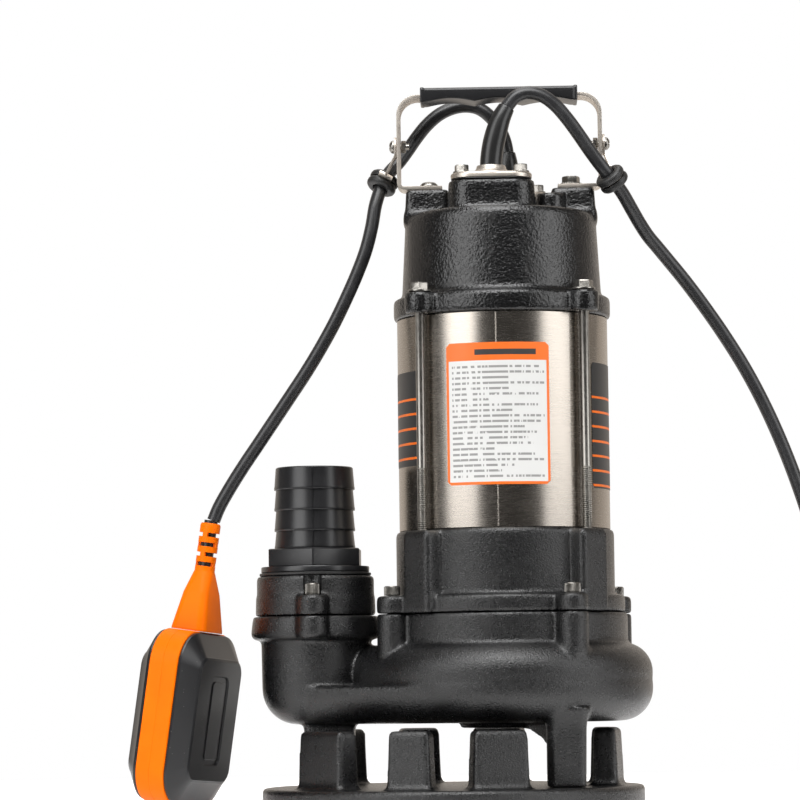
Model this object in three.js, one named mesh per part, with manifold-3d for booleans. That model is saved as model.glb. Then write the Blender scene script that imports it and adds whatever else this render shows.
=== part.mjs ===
// Submersible sewage pump with a float switch, a hose barb and a lead with a mains plug.
// Millimetres, +Z up. The origin is on the shaft axis, at the underside of the strainer base.
// +X points away from the discharge, -Y is the front, where the supply gland sits.
import * as THREE from 'three';
import { mergeVertices } from 'three/addons/utils/BufferGeometryUtils.js';
import Module from 'manifold-3d';

const wasm = await Module();
wasm.setup();

// ---- driving dimensions ----
const GAP = 0.3;                 // clearance between neighbours that touch on the real pump
const FINE = 32;                 // sides on large round parts
const ROUND = 24;                // sides on the outlet pieces
const MEDIUM = 16;               // sides on mid-size round parts
const SMALL = 8;                 // sides on screws and their holes

const BASE = { x: -34, radius: 118, thickness: 12, round: 3 };
const POST = { top: 47, reach: 97, depth: 16, taper: 1.5, corner: 3 };
const POSTS = [[-50, 42], [-14, 27], [17, 35], [78, 26], [102, 26], [163, 35], [-166, 27], [-130, 42]];
const LEGS = [[-110, 0, 30, 26], [36, -67, 21, 20], [36, 67, 21, 20]];

const VOLUTE = { bottom: 51, split: 74, shoulder: 99, top: 117.5, neck: 75, bowl: 90, mouth: 62 };
const CHAMBER = { floor: 60, radius: 72, roof: 94 };
const INLET = { radius: 24, ring: 29, bottom: 47.5 };
const OUTLET = { x: -118, radius: 33.5, bore: 25, flange: 38.8, flangeBottom: 105.3, lugY: 38, lug: 9.5 };
const CASE_SCREW = { reach: 80, angles: [-60, 30, 120, 210], lug: 9.5, head: 4.8, tall: 6 };
const SOCKET_SCREW = { shank: 3, hole: 3.3, bottom: 108, socket: 2.5 };
const DISCHARGE = { lugTop: 130, cheek: 36.8, radius: 36.3, top: 142.3, bore: 28.3, relief: 5, head: 4.3, tall: 7 };
const BARB = {
  bore: 20, neck: 28, hex: 32.3, collar: 33.5, collarBottom: 144.5, hexBottom: 148, pipe: 25, valley: 24,
  teeth: [159.2, 170.2, 182.9, 195.8, 209.8], bottom: 124,
};
const VENT = { x: 31, y: -14, radius: 9, top: 377 };

const HOUSING = { flangeTop: 128.5, flange: 73.6, body: 67.5, top: 168.7, plug: 61.7, plugBottom: 108 };
const OIL = { radius: 54, bottom: 121, top: 152 };
const TIE = { reach: 50, rod: 3, hole: 3.4, bottom: 150, ribWidth: 23, ribOuter: 78 };
const SLEEVE = { radius: 65.3, wall: 1.5, top: 300 };
const SPIGOT = { outer: 63.5, inner: 60, length: 7 };
const COVER = { flangeTop: 313, flange: 67.3, capLow: 61.7, capHigh: 59.2, top: 365.5, cavity: 54, roof: 357 };

const SHAFT = { radius: 8, tip: 5, tipBottom: 59, impeller: 68, top: 317 };
const ROTOR = { radius: 32.4, bottom: 190, top: 272 };
const STATOR = { radius: 63.4, bore: 33, barReach: 46, bar: 3.5, bars: 8 };
const LOWER_BEARING = { radius: 20, bottom: 158.3, top: 168.3 };
const UPPER_BEARING = { radius: 17.5, bottom: 303, top: 314 };
const IMPELLER = { radius: 60, plate: 86, plateTop: 91, vaneBottom: 66, vanes: 6, hub: 13, top: 96 };

const HANDLE_BOSS = { inner: 31.5, outer: 59, halfDepth: 13, top: 381.5 };
const STRAP = { half: 64, thick: 2.2, halfWidth: 9.5, foot: 36, top: 441.4, bend: 13, heel: 4.5, screwX: 44.3 };
const GRIP = { half: 49, halfDepth: 12, bottom: 436.2, top: 446 };
const CLIP = { z: 410, screw: 2, nut: 3.4, head: 4 };
const GROMMET = { radius: 9.25, groove: 6.2, half: 4.5, slot: 1, bore: 4.9 };

const FRONT_GLAND = { x: -5.3, y: -27, top: 384 };
const REAR_GLAND = { x: 5.2, y: 27, top: 378 };
const GLAND = { half: 26, halfDepth: 14, screwX: 18.2, boot: 6.85, plate: 2.2 };

const CORD = { radius: 4.2, sides: 8 };
const FLOAT = {
  centre: [-199.5, 0, 56.2], lean: 8, turn: 21.5, halfWidth: 40, halfLength: 53.5, corner: 22,
  halfBand: 9.6, halfThick: 21, faceWidth: 29, faceLength: 38, faceCorner: 9, wall: 3,
};
const BALL = { radius: 9.5, low: -30 };
const COIL = { x: 283, y: 74, mid: 59, half: 16.8, height: 34 };
const PLUG = { radius: 19, length: 36, pinLength: 19, pinRadius: 2.4, pinSpread: 9.5 };

// ---- finishes ----
const finish = (color, roughness, metalness) => new THREE.MeshStandardMaterial({ color, roughness, metalness });
const BLACK_CASTING = finish(0x17181a, 0.5, 0.1);
const STAINLESS = finish(0xb9b7b2, 0.3, 1);
const ZINC = finish(0xb5b0a6, 0.35, 1);
const STEEL = finish(0x8c8f93, 0.35, 1);
const LAMINATION = finish(0x6c6e72, 0.5, 0.9);
const COPPER = finish(0xb0622f, 0.35, 1);
const BLACK_PLASTIC = finish(0x1b1c20, 0.4, 0);
const RUBBER = finish(0x17181a, 0.6, 0);
const CORD_JACKET = finish(0x1b1c1e, 0.5, 0);
const ORANGE = finish(0xf57c08, 0.35, 0);
const CERAMIC = finish(0xd8d3c8, 0.4, 0);
const CAPACITOR_CASE = finish(0xd5d5d0, 0.45, 0);

// ---- geometry helpers ----
const rad = THREE.MathUtils.degToRad;
const at = (...xyz) => new THREE.Vector3(...xyz);

// Signed volume of an indexed triangle list: negative when its faces point inwards.
function signedVolume(points, index) {
  const corner = (i) => at(points[3 * i], points[3 * i + 1], points[3 * i + 2]);
  let sum = 0;
  for (let i = 0; i < index.length; i += 3) {
    sum += corner(index[i]).dot(corner(index[i + 1]).cross(corner(index[i + 2])));
  }
  return sum / 6;
}

// A closed geometry as a manifold solid, with shared vertices and outward faces.
function solid(geometry) {
  const bare = geometry.clone();
  bare.deleteAttribute('normal');
  bare.deleteAttribute('uv');
  const merged = mergeVertices(bare, 1e-4);
  const points = merged.attributes.position.array;
  const index = [];
  for (let i = 0; i < merged.index.count; i += 3) {
    const [a, b, c] = [0, 1, 2].map((k) => merged.index.getX(i + k));
    if (a !== b && b !== c && c !== a) index.push(a, b, c);
  }
  if (signedVolume(points, index) < 0) index.reverse();
  return new wasm.Manifold(new wasm.Mesh({
    numProp: 3, vertProperties: new Float32Array(points), triVerts: new Uint32Array(index),
  }));
}

const join = (first, ...rest) => rest.reduce((sum, next) => sum.add(next), first);
const cut = (first, ...rest) => rest.reduce((left, next) => left.subtract(next), first);

// A profile of [radius, height] points turned about Z. Off-axis profiles close on themselves.
function turned(profile, sides = FINE, x = 0, y = 0) {
  const closed = profile[0][0] === 0 ? profile : [...profile, profile[0]];
  const geometry = new THREE.LatheGeometry(closed.map(([r, z]) => new THREE.Vector2(r, z)), sides);
  return solid(geometry.rotateX(Math.PI / 2).translate(x, y, 0));
}

const rod = (r, z0, z1, x = 0, y = 0, sides = MEDIUM) =>
  turned([[0, z0], [r, z0], [r, z1], [0, z1]], sides, x, y);
const ring = (inner, outer, z0, z1, x = 0, y = 0, sides = FINE) =>
  turned([[inner, z0], [outer, z0], [outer, z1], [inner, z1]], sides, x, y);

function block(x0, x1, y0, y1, z0, z1) {
  const geometry = new THREE.BoxGeometry(x1 - x0, y1 - y0, z1 - z0);
  return solid(geometry.translate((x0 + x1) / 2, (y0 + y1) / 2, (z0 + z1) / 2));
}

// A stack of outlines around a set of circles [x, y, r], one outline for each level [z, inset].
function stack(circles, levels, sides = FINE) {
  const points = [];
  for (const [z, inset] of levels) {
    for (let i = 0; i < sides; i += 1) {
      const angle = 2 * Math.PI * (i + 0.5) / sides;
      const [nx, ny] = [Math.cos(angle), Math.sin(angle)];
      const reach = ([x, y, r]) => x * nx + y * ny + r;
      const [x, y, r] = circles.reduce((best, next) => (reach(next) > reach(best) ? next : best));
      points.push(x + (r - inset) * nx, y + (r - inset) * ny, z);
    }
  }
  const index = [];
  for (let level = 0; level < levels.length - 1; level += 1) {
    for (let i = 0; i < sides; i += 1) {
      const a = level * sides + i;
      const b = level * sides + (i + 1) % sides;
      index.push(a, b, b + sides, a, b + sides, a + sides);
    }
  }
  const last = (levels.length - 1) * sides;
  for (let i = 1; i < sides - 1; i += 1) {
    index.push(0, i + 1, i, last, last + i, last + i + 1);
  }
  const geometry = new THREE.BufferGeometry();
  geometry.setAttribute('position', new THREE.Float32BufferAttribute(points, 3));
  geometry.setIndex(index);
  return solid(geometry);
}

// Four corner circles of a rounded rectangle.
const roundedRect = (x, y, halfX, halfY, corner) => [[1, 1], [-1, 1], [-1, -1], [1, -1]].map(
  ([sx, sy]) => [x + sx * (halfX - corner), y + sy * (halfY - corner), corner]);

// Levels that round the lower edge of a stack with the given radius.
const roundedFoot = (z, radius, steps = 3) => Array.from({ length: steps + 1 }, (_, i) => {
  const angle = Math.PI / 2 * i / steps;
  return [z + radius * (1 - Math.cos(angle)), radius * (1 - Math.sin(angle))];
});
const roundedHead = (z, radius, steps = 3) => roundedFoot(0, radius, steps).reverse()
  .map(([rise, inset]) => [z - rise, inset]);

// A round tube along a smooth line through hand-placed points.
const smooth = (points) => new THREE.CatmullRomCurve3(points.map((p) => at(...p)), false, 'centripetal');
function tube(points, radius, steps, sides = CORD.sides) {
  const section = new THREE.Shape(Array.from({ length: sides }, (_, i) => new THREE.Vector2(
    radius * Math.cos(2 * Math.PI * i / sides), radius * Math.sin(2 * Math.PI * i / sides))));
  return solid(new THREE.ExtrudeGeometry(section,
    { steps, bevelEnabled: false, extrudePath: smooth(points) }));
}

const turn = (shape, x, y, z) => shape.rotate([x, y, z]);

// Turns a solid built along +Z so that it points along a direction, then moves it to a place.
function aim(shape, direction, place) {
  const turnTo = new THREE.Quaternion().setFromUnitVectors(at(0, 0, 1), at(...direction).normalize());
  const matrix = new THREE.Matrix4().compose(at(...place), turnTo, at(1, 1, 1));
  return shape.transform(matrix.elements);
}

const pump = new THREE.Group();

function add(name, shape, material, parent = pump) {
  const { numProp, vertProperties, triVerts } = shape.getMesh();
  const geometry = new THREE.BufferGeometry();
  geometry.setAttribute('position', new THREE.Float32BufferAttribute(vertProperties, numProp));
  geometry.setIndex(new THREE.BufferAttribute(triVerts, 1));
  const mesh = new THREE.Mesh(geometry, material);
  mesh.name = name;
  parent.add(mesh);
}

// ---- strainer base ----
{
  const { x, radius, thickness, round } = BASE;
  const plate = stack([[x, 0, radius]], [[0, 0], ...roundedHead(thickness, round, 2)], 48);
  const posts = POSTS.map(([angle, width]) => {
    const outline = roundedRect(0, -POST.reach, width / 2, POST.depth / 2, POST.corner);
    const post = stack(outline, [[thickness - 1, 0], [POST.top, POST.taper]], 12);
    return turn(post, 0, 0, angle).translate([x, 0, 0]);
  });
  add('strainer_base', join(plate, ...posts), BLACK_CASTING);
}

// ---- pump casing: bowl, upper scroll, lower scroll, elbow, neck, legs and screw lugs ----
const caseScrews = CASE_SCREW.angles.map((angle) => [
  CASE_SCREW.reach * Math.cos(rad(angle)), CASE_SCREW.reach * Math.sin(rad(angle))]);
const outletScrews = [-1, 1].map((side) => [OUTLET.x, side * OUTLET.lugY]);
{
  const { bottom, split, shoulder, top, neck, bowl, mouth } = VOLUTE;
  const bend = (bowl - neck) + 3;
  const lower = stack([[OUTLET.x, 0, 31], [0, 0, bowl]], [...roundedFoot(bottom, 20), [split, 0]], 36);
  const upper = stack([[-42, 4, 60], [0, 0, bowl]],
    [[split - 2, 3], [split, 0.5], ...roundedHead(shoulder, bend)], 36);
  const elbow = stack([[OUTLET.x, 0, OUTLET.radius]],
    [...roundedFoot(bottom, 22), [OUTLET.flangeBottom + 1, -0.6]], ROUND);
  const collar = rod(neck, shoulder - 6, top, 0, 0, FINE);
  const flange = stack([[OUTLET.x, 0, OUTLET.flange]], [[OUTLET.flangeBottom, -1], [top, 0]], ROUND);
  const outletLugs = outletScrews.map(([x, y]) => rod(OUTLET.lug, OUTLET.flangeBottom, top, x, y, 16));
  const caseLugs = caseScrews.map(([x, y]) => rod(CASE_SCREW.lug, shoulder - 8, top, x, y, 16));
  const legs = LEGS.map(([x, y, width, depth]) => stack(
    roundedRect(x, y, width / 2, depth / 2, 4), [[BASE.thickness + GAP, 0], [bottom + 9, -0.5]], 16));
  const inletRing = rod(INLET.ring, INLET.bottom, bottom + 3, 0, 0, 16);
  const gusset = turn(block(20, 68, -4, 4, 34, bottom + 2), 0, 0, -62);
  const body = join(lower, upper, elbow, collar, flange, ...outletLugs, ...caseLugs, ...legs, inletRing);
  const chamber = rod(CHAMBER.radius, CHAMBER.floor, CHAMBER.roof, 0, 0, FINE);
  const throat = turned([[0, CHAMBER.roof - 1], [mouth, CHAMBER.roof - 1], [mouth, top + 1], [0, top + 1]]);
  const eye = rod(INLET.radius, INLET.bottom - 1, CHAMBER.floor + 1, 0, 0, 16);
  const riser = rod(OUTLET.bore, CHAMBER.floor, top + 1, OUTLET.x, 0, ROUND);
  const passage = block(OUTLET.x, -40, -18, 18, CHAMBER.floor, CHAMBER.roof - 4);
  const holes = [...caseScrews, ...outletScrews].map(([x, y]) =>
    rod(SOCKET_SCREW.hole, SOCKET_SCREW.bottom - 1, top + 1, x, y, SMALL));
  add('pump_casing', cut(join(body, gusset), chamber, throat, eye, riser, passage, ...holes), BLACK_CASTING);
}

// ---- impeller, shaft and rotor ----
{
  const { radius, plate, plateTop, vaneBottom, vanes, hub, top } = IMPELLER;
  const vane = block(hub - 2, radius - 1, -2, 2, vaneBottom + 4, plate + 1);
  const wheel = join(rod(radius, plate, plateTop, 0, 0, FINE), rod(hub, SHAFT.impeller, top),
    ...Array.from({ length: vanes }, (_, i) => turn(vane, 0, 0, 360 * i / vanes)));
  add('impeller', cut(wheel, rod(SHAFT.radius + GAP, SHAFT.impeller - 1, top + 1)), BLACK_CASTING);
}
{
  const { radius, tip, tipBottom, impeller, top } = SHAFT;
  const profile = [[0, tipBottom], [tip, tipBottom], [tip, impeller], [radius, impeller], [radius, top], [0, top]];
  add('shaft', turned(profile, 16), STEEL);
  add('impeller_nut', cut(rod(9, tipBottom + 1.5, impeller - GAP, 0, 0, 6),
    rod(tip + GAP, tipBottom, impeller, 0, 0, 16)), ZINC);
}
add('rotor_core', ring(SHAFT.radius + GAP, ROTOR.radius, ROTOR.bottom, ROTOR.top, 0, 0, 16), LAMINATION);

// ---- shaft seal and bearings ----
add('seal_rotary_ring', ring(SHAFT.radius + GAP, 13, IMPELLER.top + GAP, 104, 0, 0, 16), STEEL);
add('seal_seat', ring(SHAFT.radius + 1, 14, 104 + GAP, 117, 0, 0, 16), CERAMIC);
for (const [name, bearing] of [['lower_bearing', LOWER_BEARING], ['upper_bearing', UPPER_BEARING]]) {
  add(name, ring(SHAFT.radius + GAP, bearing.radius, bearing.bottom, bearing.top, 0, 0, 16), STEEL);
}

// ---- oil chamber housing ----
const tieRods = [[1, 1], [-1, 1], [-1, -1], [1, -1]].map(([sx, sy]) => [sx * TIE.reach, sy * TIE.reach]);
{
  const { flangeTop, flange, body, top, plug, plugBottom } = HOUSING;
  const low = VOLUTE.top + GAP;
  const shell = turned([[0, plugBottom], [plug, plugBottom], [plug, low], [flange, low], [flange, flangeTop - 1],
    [flange - 1, flangeTop], [body + 1.5, flangeTop + 1], [body, flangeTop + 3], [body, top - GAP],
    [SPIGOT.outer, top - GAP], [SPIGOT.outer, top + SPIGOT.length], [SPIGOT.inner, top + SPIGOT.length],
    [SPIGOT.inner, top - GAP], [0, top - GAP]]);
  const ribs = [45, 135, 225, 315].map((angle) => turn(
    block(body - 12, TIE.ribOuter, -TIE.ribWidth / 2, TIE.ribWidth / 2, low, top - 1), 0, 0, angle));
  const lugs = caseScrews.map(([x, y]) => rod(CASE_SCREW.lug, low, flangeTop, x, y, 16));
  const voids = [
    rod(14 + GAP, plugBottom - 1, OIL.bottom + 1, 0, 0, 16),
    rod(OIL.radius, OIL.bottom, OIL.top, 0, 0, 16),
    rod(12, OIL.top - 1, LOWER_BEARING.bottom, 0, 0, 16),
    rod(LOWER_BEARING.radius + GAP, LOWER_BEARING.bottom - GAP, top + 1, 0, 0, 16),
    ...caseScrews.map(([x, y]) => rod(SOCKET_SCREW.hole, low - 1, flangeTop + 1, x, y, SMALL)),
    ...tieRods.map(([x, y]) => rod(TIE.hole, TIE.bottom - 1, top + 1, x, y, SMALL)),
  ];
  add('oil_chamber_housing', cut(join(shell, ...ribs, ...lugs), ...voids), BLACK_CASTING);
}
// A socket-head screw that stands on a seat, with its shank down into the pump casing.
function socketScrew(x, y, seat, headRadius, tall) {
  const { shank, bottom, socket } = SOCKET_SCREW;
  return cut(join(rod(shank, bottom, seat + 1, x, y, SMALL), rod(headRadius, seat + GAP, seat + tall, x, y, 12)),
    rod(socket, seat + tall - 3, seat + tall + 1, x, y, 6));
}
caseScrews.forEach(([x, y], i) => {
  add(`casing_screw_${i + 1}`, socketScrew(x, y, HOUSING.flangeTop, CASE_SCREW.head, CASE_SCREW.tall), ZINC);
});

// ---- motor: sleeve, stator, winding ----
const sleeveLow = HOUSING.top;
add('motor_sleeve', ring(SLEEVE.radius - SLEEVE.wall, SLEEVE.radius, sleeveLow, SLEEVE.top - GAP), STAINLESS);
{
  const bars = Array.from({ length: STATOR.bars }, (_, i) => {
    const angle = 2 * Math.PI * (i + 0.5) / STATOR.bars;
    return [STATOR.barReach * Math.cos(angle), STATOR.barReach * Math.sin(angle)];
  });
  const core = ring(STATOR.bore, STATOR.radius, ROTOR.bottom, ROTOR.top - 2);
  add('stator_core', cut(core, ...bars.map(([x, y]) =>
    rod(STATOR.bar + GAP, ROTOR.bottom - 1, ROTOR.top, x, y, 8))), LAMINATION);
  const coilEnd = (z0, z1) => turned([[38, z0], [54, z0], [57, z0 + 3], [57, z1 - 3], [54, z1], [38, z1]], 16);
  const lowEnd = coilEnd(sleeveLow + 6, ROTOR.bottom - GAP);
  const highEnd = coilEnd(ROTOR.top - 2 + GAP, ROTOR.top + 14);
  const strands = bars.map(([x, y]) => rod(STATOR.bar, ROTOR.bottom - 4, ROTOR.top + 3, x, y, 8));
  add('stator_winding', join(lowEnd, highEnd, ...strands), COPPER);
}

// ---- top cover ----
{
  const { flangeTop, flange, capLow, capHigh, top, cavity, roof } = COVER;
  const low = SLEEVE.top;
  const shell = turned([[SPIGOT.inner, low - SPIGOT.length], [SPIGOT.outer, low - SPIGOT.length],
    [SPIGOT.outer, low], [flange, low], [flange, flangeTop - 1], [flange - 1, flangeTop], [capLow + 1, flangeTop],
    [capLow, flangeTop + 2], [capHigh, top - 2], [capHigh - 2, top], [0, top], [0, roof], [cavity, roof],
    [cavity, low + 1], [SPIGOT.inner, low]]);
  const ears = tieRods.map(([x, y]) => rod(9, low, flangeTop, x, y, 16));
  const hub = rod(UPPER_BEARING.radius + 6, low + 2, flangeTop + 2, 0, 0, 16);
  const spokes = [30, 150, 270].map((angle) => turn(block(10, cavity + 3, -4, 4, low + 3, low + 11), 0, 0, angle));
  const handleBosses = [-1, 1].map((side) => {
    const middle = side * (HANDLE_BOSS.inner + HANDLE_BOSS.outer) / 2;
    const half = (HANDLE_BOSS.outer - HANDLE_BOSS.inner) / 2;
    return stack(roundedRect(middle, 0, half, HANDLE_BOSS.halfDepth, 3), [[top - 2, 0], [HANDLE_BOSS.top, 0.5]], 16);
  });
  const glandBosses = [FRONT_GLAND, REAR_GLAND].map(({ x, y, top: z }) => stack(
    [[x - 13, y, 13.5], [x + 13, y, 13.5]], [[top - 2, -0.5], [z, 0]], 16));
  const ventBoss = rod(VENT.radius, top - 2, VENT.top, VENT.x, VENT.y, 16);
  const holes = [
    rod(UPPER_BEARING.radius + GAP, low + 1, flangeTop + 3, 0, 0, 16),
    ...tieRods.map(([x, y]) => rod(TIE.hole, low - 1, flangeTop + 1, x, y, SMALL)),
    ...[FRONT_GLAND, REAR_GLAND].map(({ x, y }) => rod(5, roof - 1, 390, x, y, SMALL)),
    ...[FRONT_GLAND, REAR_GLAND].flatMap(({ x, y, top: z }) => [-1, 1].map((side) =>
      rod(2.3, z - 9, z + 1, x + side * GLAND.screwX, y, SMALL))),
    ...[-1, 1].map((side) => rod(3.3, top + 3, HANDLE_BOSS.top + 1, side * STRAP.screwX, 0, SMALL)),
  ];
  const body = join(shell, ...ears, hub, ...spokes, ...handleBosses, ...glandBosses, ventBoss);
  add('top_cover', cut(body, ...holes), BLACK_CASTING);
}
add('run_capacitor', rod(14, COVER.flangeTop + 6, COVER.roof - 1, 33, 0, 16), CAPACITOR_CASE);
tieRods.forEach(([x, y], i) => {
  const shank = rod(TIE.rod, TIE.bottom, COVER.flangeTop + 1, x, y, SMALL);
  const washer = rod(7, COVER.flangeTop + GAP, COVER.flangeTop + 1.6, x, y, 12);
  const head = rod(5.9, COVER.flangeTop + 1, COVER.flangeTop + 6, x, y, 6);
  add(`tie_rod_${i + 1}`, join(shank, washer, head), ZINC);
});

// ---- handle: strap, grip and foot screws ----
{
  const { half, thick, halfWidth, foot, top, bend, heel, screwX } = STRAP;
  const low = HANDLE_BOSS.top + GAP;
  const right = Math.PI / 2;
  const outline = new THREE.Shape();
  outline.moveTo(foot, low);
  outline.absarc(half - heel, low + heel, heel, -right, 0, false);
  outline.absarc(half - bend, top - bend, bend, 0, right, false);
  outline.absarc(bend - half, top - bend, bend, right, 2 * right, false);
  outline.absarc(heel - half, low + heel, heel, 2 * right, 3 * right, false);
  outline.lineTo(-foot, low);
  outline.lineTo(-foot, low + thick);
  outline.absarc(heel - half, low + heel, heel - thick, 3 * right, 2 * right, true);
  outline.absarc(bend - half, top - bend, bend - thick, 2 * right, right, true);
  outline.absarc(half - bend, top - bend, bend - thick, right, 0, true);
  outline.absarc(half - heel, low + heel, heel - thick, 0, -right, true);
  outline.lineTo(foot, low + thick);
  const ribbon = solid(new THREE.ExtrudeGeometry(outline,
    { depth: 2 * halfWidth, bevelEnabled: false, curveSegments: 5 }).rotateX(right).translate(0, halfWidth, 0));
  const footHoles = [-1, 1].map((side) => rod(3.3, low - 1, low + thick + 1, side * screwX, 0, SMALL));
  const clipHole = turn(rod(CLIP.screw + GAP, -half - 1, half + 1, 0, 0, SMALL), 0, 90, 0)
    .translate([0, 0, CLIP.z]);
  add('handle_strap', cut(ribbon, ...footHoles, clipHole), STAINLESS);

  const channel = block(-GRIP.half - 1, GRIP.half + 1, -halfWidth - GAP, halfWidth + GAP,
    top - thick - GAP, top + GAP);
  const grip = turn(stack(roundedRect(0, 0, (GRIP.top - GRIP.bottom) / 2, GRIP.halfDepth, 3),
    [[-GRIP.half, 0], [GRIP.half, 0]], 16), 0, 90, 0).translate([0, 0, (GRIP.top + GRIP.bottom) / 2]);
  add('handle_grip', cut(grip, channel), BLACK_PLASTIC);

  const seat = low + thick + GAP;
  const shank = rod(3, low - 12, seat + 1, 0, 0, SMALL);
  const panHead = turned([[0, seat], [5.6, seat], [5.6, seat + 1.2], [3.5, seat + 3], [0, seat + 3.2]], 12);
  const hexHead = join(rod(6.4, seat, seat + 1.4, 0, 0, 12), rod(5.6, seat, seat + 5, 0, 0, 6));
  add('handle_screw_left', join(shank, panHead).translate([-screwX, 0, 0]), ZINC);
  add('handle_screw_right', join(shank, hexHead).translate([screwX, 0, 0]), ZINC);
}

// ---- cord glands ----
// Each cord leaves its gland through a rubber boot that follows the cord for its first few centimetres.
const FRONT_BOOT = [[-5.3, -27, 385], [-5.2, -27, 396], [-3.8, -27, 406], [-1.2, -26.9, 416], [1, -26.8, 422.5],
  [4, -26.5, 428.5]];
const REAR_BOOT = [[5.2, 27, 379], [5.3, 27, 388], [5.3, 27, 398], [5, 27, 408]];
for (const [name, gland, boot] of [['front', FRONT_GLAND, FRONT_BOOT], ['rear', REAR_GLAND, REAR_BOOT]]) {
  const { x, y, top } = gland;
  const oval = [[x - 12, y, 13], [x + 12, y, 13]];
  const gasket = stack(oval, [[top + GAP, 0], [top + 2.3, 0]], 16);
  const sheath = tube(boot, GLAND.boot, 10, 14);
  const holes = [-1, 1].map((side) => rod(2.5, top, top + 4, x + side * GLAND.screwX, y, SMALL));
  add(`gland_boot_${name}`, cut(join(gasket, sheath), ...holes), RUBBER);
  const seat = top + 2.6;
  const dome = turned([[0, seat + 1], [12.5, seat + 1], [8.8, seat + 4.6], [8.5, seat + 6.8], [0, seat + 6.8]],
    28, x, y);
  const plate = join(stack(oval, [[seat, 0], [seat + GLAND.plate - 0.5, 0], [seat + GLAND.plate, 0.6]], 16), dome);
  const bore = rod(GLAND.boot + 0.5, top, top + 12, x, y, 16);
  add(`gland_plate_${name}`, cut(plate, bore, ...holes.map((hole) => hole.translate([0, 0, 1.5]))), STAINLESS);
  [-1, 1].forEach((side) => {
    const head = rod(4.6, seat + GLAND.plate + GAP, seat + GLAND.plate + 5.4, 0, 0, 6);
    const shank = rod(2, top - 8, seat + GLAND.plate + 1, 0, 0, SMALL);
    add(`gland_screw_${name}_${side < 0 ? 'left' : 'right'}`,
      join(shank, head).translate([x + side * GLAND.screwX, y, 0]), ZINC);
  });
}

// ---- cord clips on the handle: link, screw, nut and grommet ----
// A flat bar between two points; `across` is its full width as a vector.
function strip(from, to, across, thick) {
  const along = at(...to).sub(at(...from));
  const wide = at(...across);
  const through = along.clone().cross(wide).setLength(thick);
  const matrix = new THREE.Matrix4().makeBasis(wide, through, along);
  matrix.setPosition(at(...from).add(at(...to)).multiplyScalar(0.5));
  return solid(new THREE.BoxGeometry(1, 1, 1).applyMatrix4(matrix));
}

const CLIPS = {
  left: { side: -1, centre: [-73.5, 13, 389.3], axis: [-0.42, -0.33, -0.85] },
  right: { side: 1, centre: [69.5, -17.5, 385.2], axis: [0.56, 0.43, -0.71] },
};
for (const [name, { side, centre, axis }] of Object.entries(CLIPS)) {
  const face = STRAP.half + GAP;
  const bendPoint = [side * (face + 0.75), -1, CLIP.z - 5.8];
  const hub = at(...centre);
  const outwards = at(...bendPoint).sub(hub).projectOnPlane(at(...axis).normalize()).normalize();
  const fromHub = (distance) => hub.clone().addScaledVector(outwards, distance).toArray();
  const neckWidth = at(...axis).normalize().cross(outwards).multiplyScalar(9).toArray();
  const tab = strip([side * (face + 0.7), 0, CLIP.z + 7], [side * (face + 0.7), 0, CLIP.z - 6.5], [0, 12, 0], 1.4);
  const arm = strip(bendPoint, fromHub(13.2), [0, 7, 0], 1.4);
  const neck = strip(fromHub(7), fromHub(13.8), neckWidth, 1.4);
  const eye = aim(rod(8.8, -0.7, 0.7, 0, 0, 16), axis, centre);
  const eyeHole = aim(rod(GROMMET.groove + GAP, -6, 6, 0, 0, 16), axis, centre);
  const screwHole = turn(rod(CLIP.screw + GAP, -80, 80, 0, 0, SMALL), 0, 90, 0).translate([0, 0, CLIP.z]);
  add(`clip_link_${name}`, cut(join(tab, arm, neck, eye), eyeHole, screwHole), STAINLESS);

  const { radius, groove, half, slot, bore } = GROMMET;
  const spool = turned([[bore, -half], [radius - 1, -half], [radius, 1 - half], [radius, -slot - 0.05], [groove, -slot],
    [groove, slot], [radius, slot + 0.05], [radius, half - 1], [radius - 1, half], [bore, half]], 16);
  add(`cord_grommet_${name}`, aim(spool, axis, centre), RUBBER);

  const alongX = (shape) => turn(shape, 0, 90, 0).scale([side, 1, 1]).translate([0, 0, CLIP.z]);
  const headSeat = face + 1.4 + GAP;
  const head = turned([[0, headSeat], [CLIP.head, headSeat], [CLIP.head, headSeat + 1], [2.6, headSeat + 2.6],
    [0, headSeat + 3]], 12);
  add(`clip_screw_${name}`, alongX(join(rod(CLIP.screw, 56.5, headSeat + 1, 0, 0, SMALL), head)), ZINC);
  const nutFace = STRAP.half - STRAP.thick - GAP;
  add(`clip_nut_${name}`, alongX(ring(CLIP.screw + GAP, CLIP.nut + 0.5, nutFace - 3, nutFace, 0, 0, 6)), ZINC);
}

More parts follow.
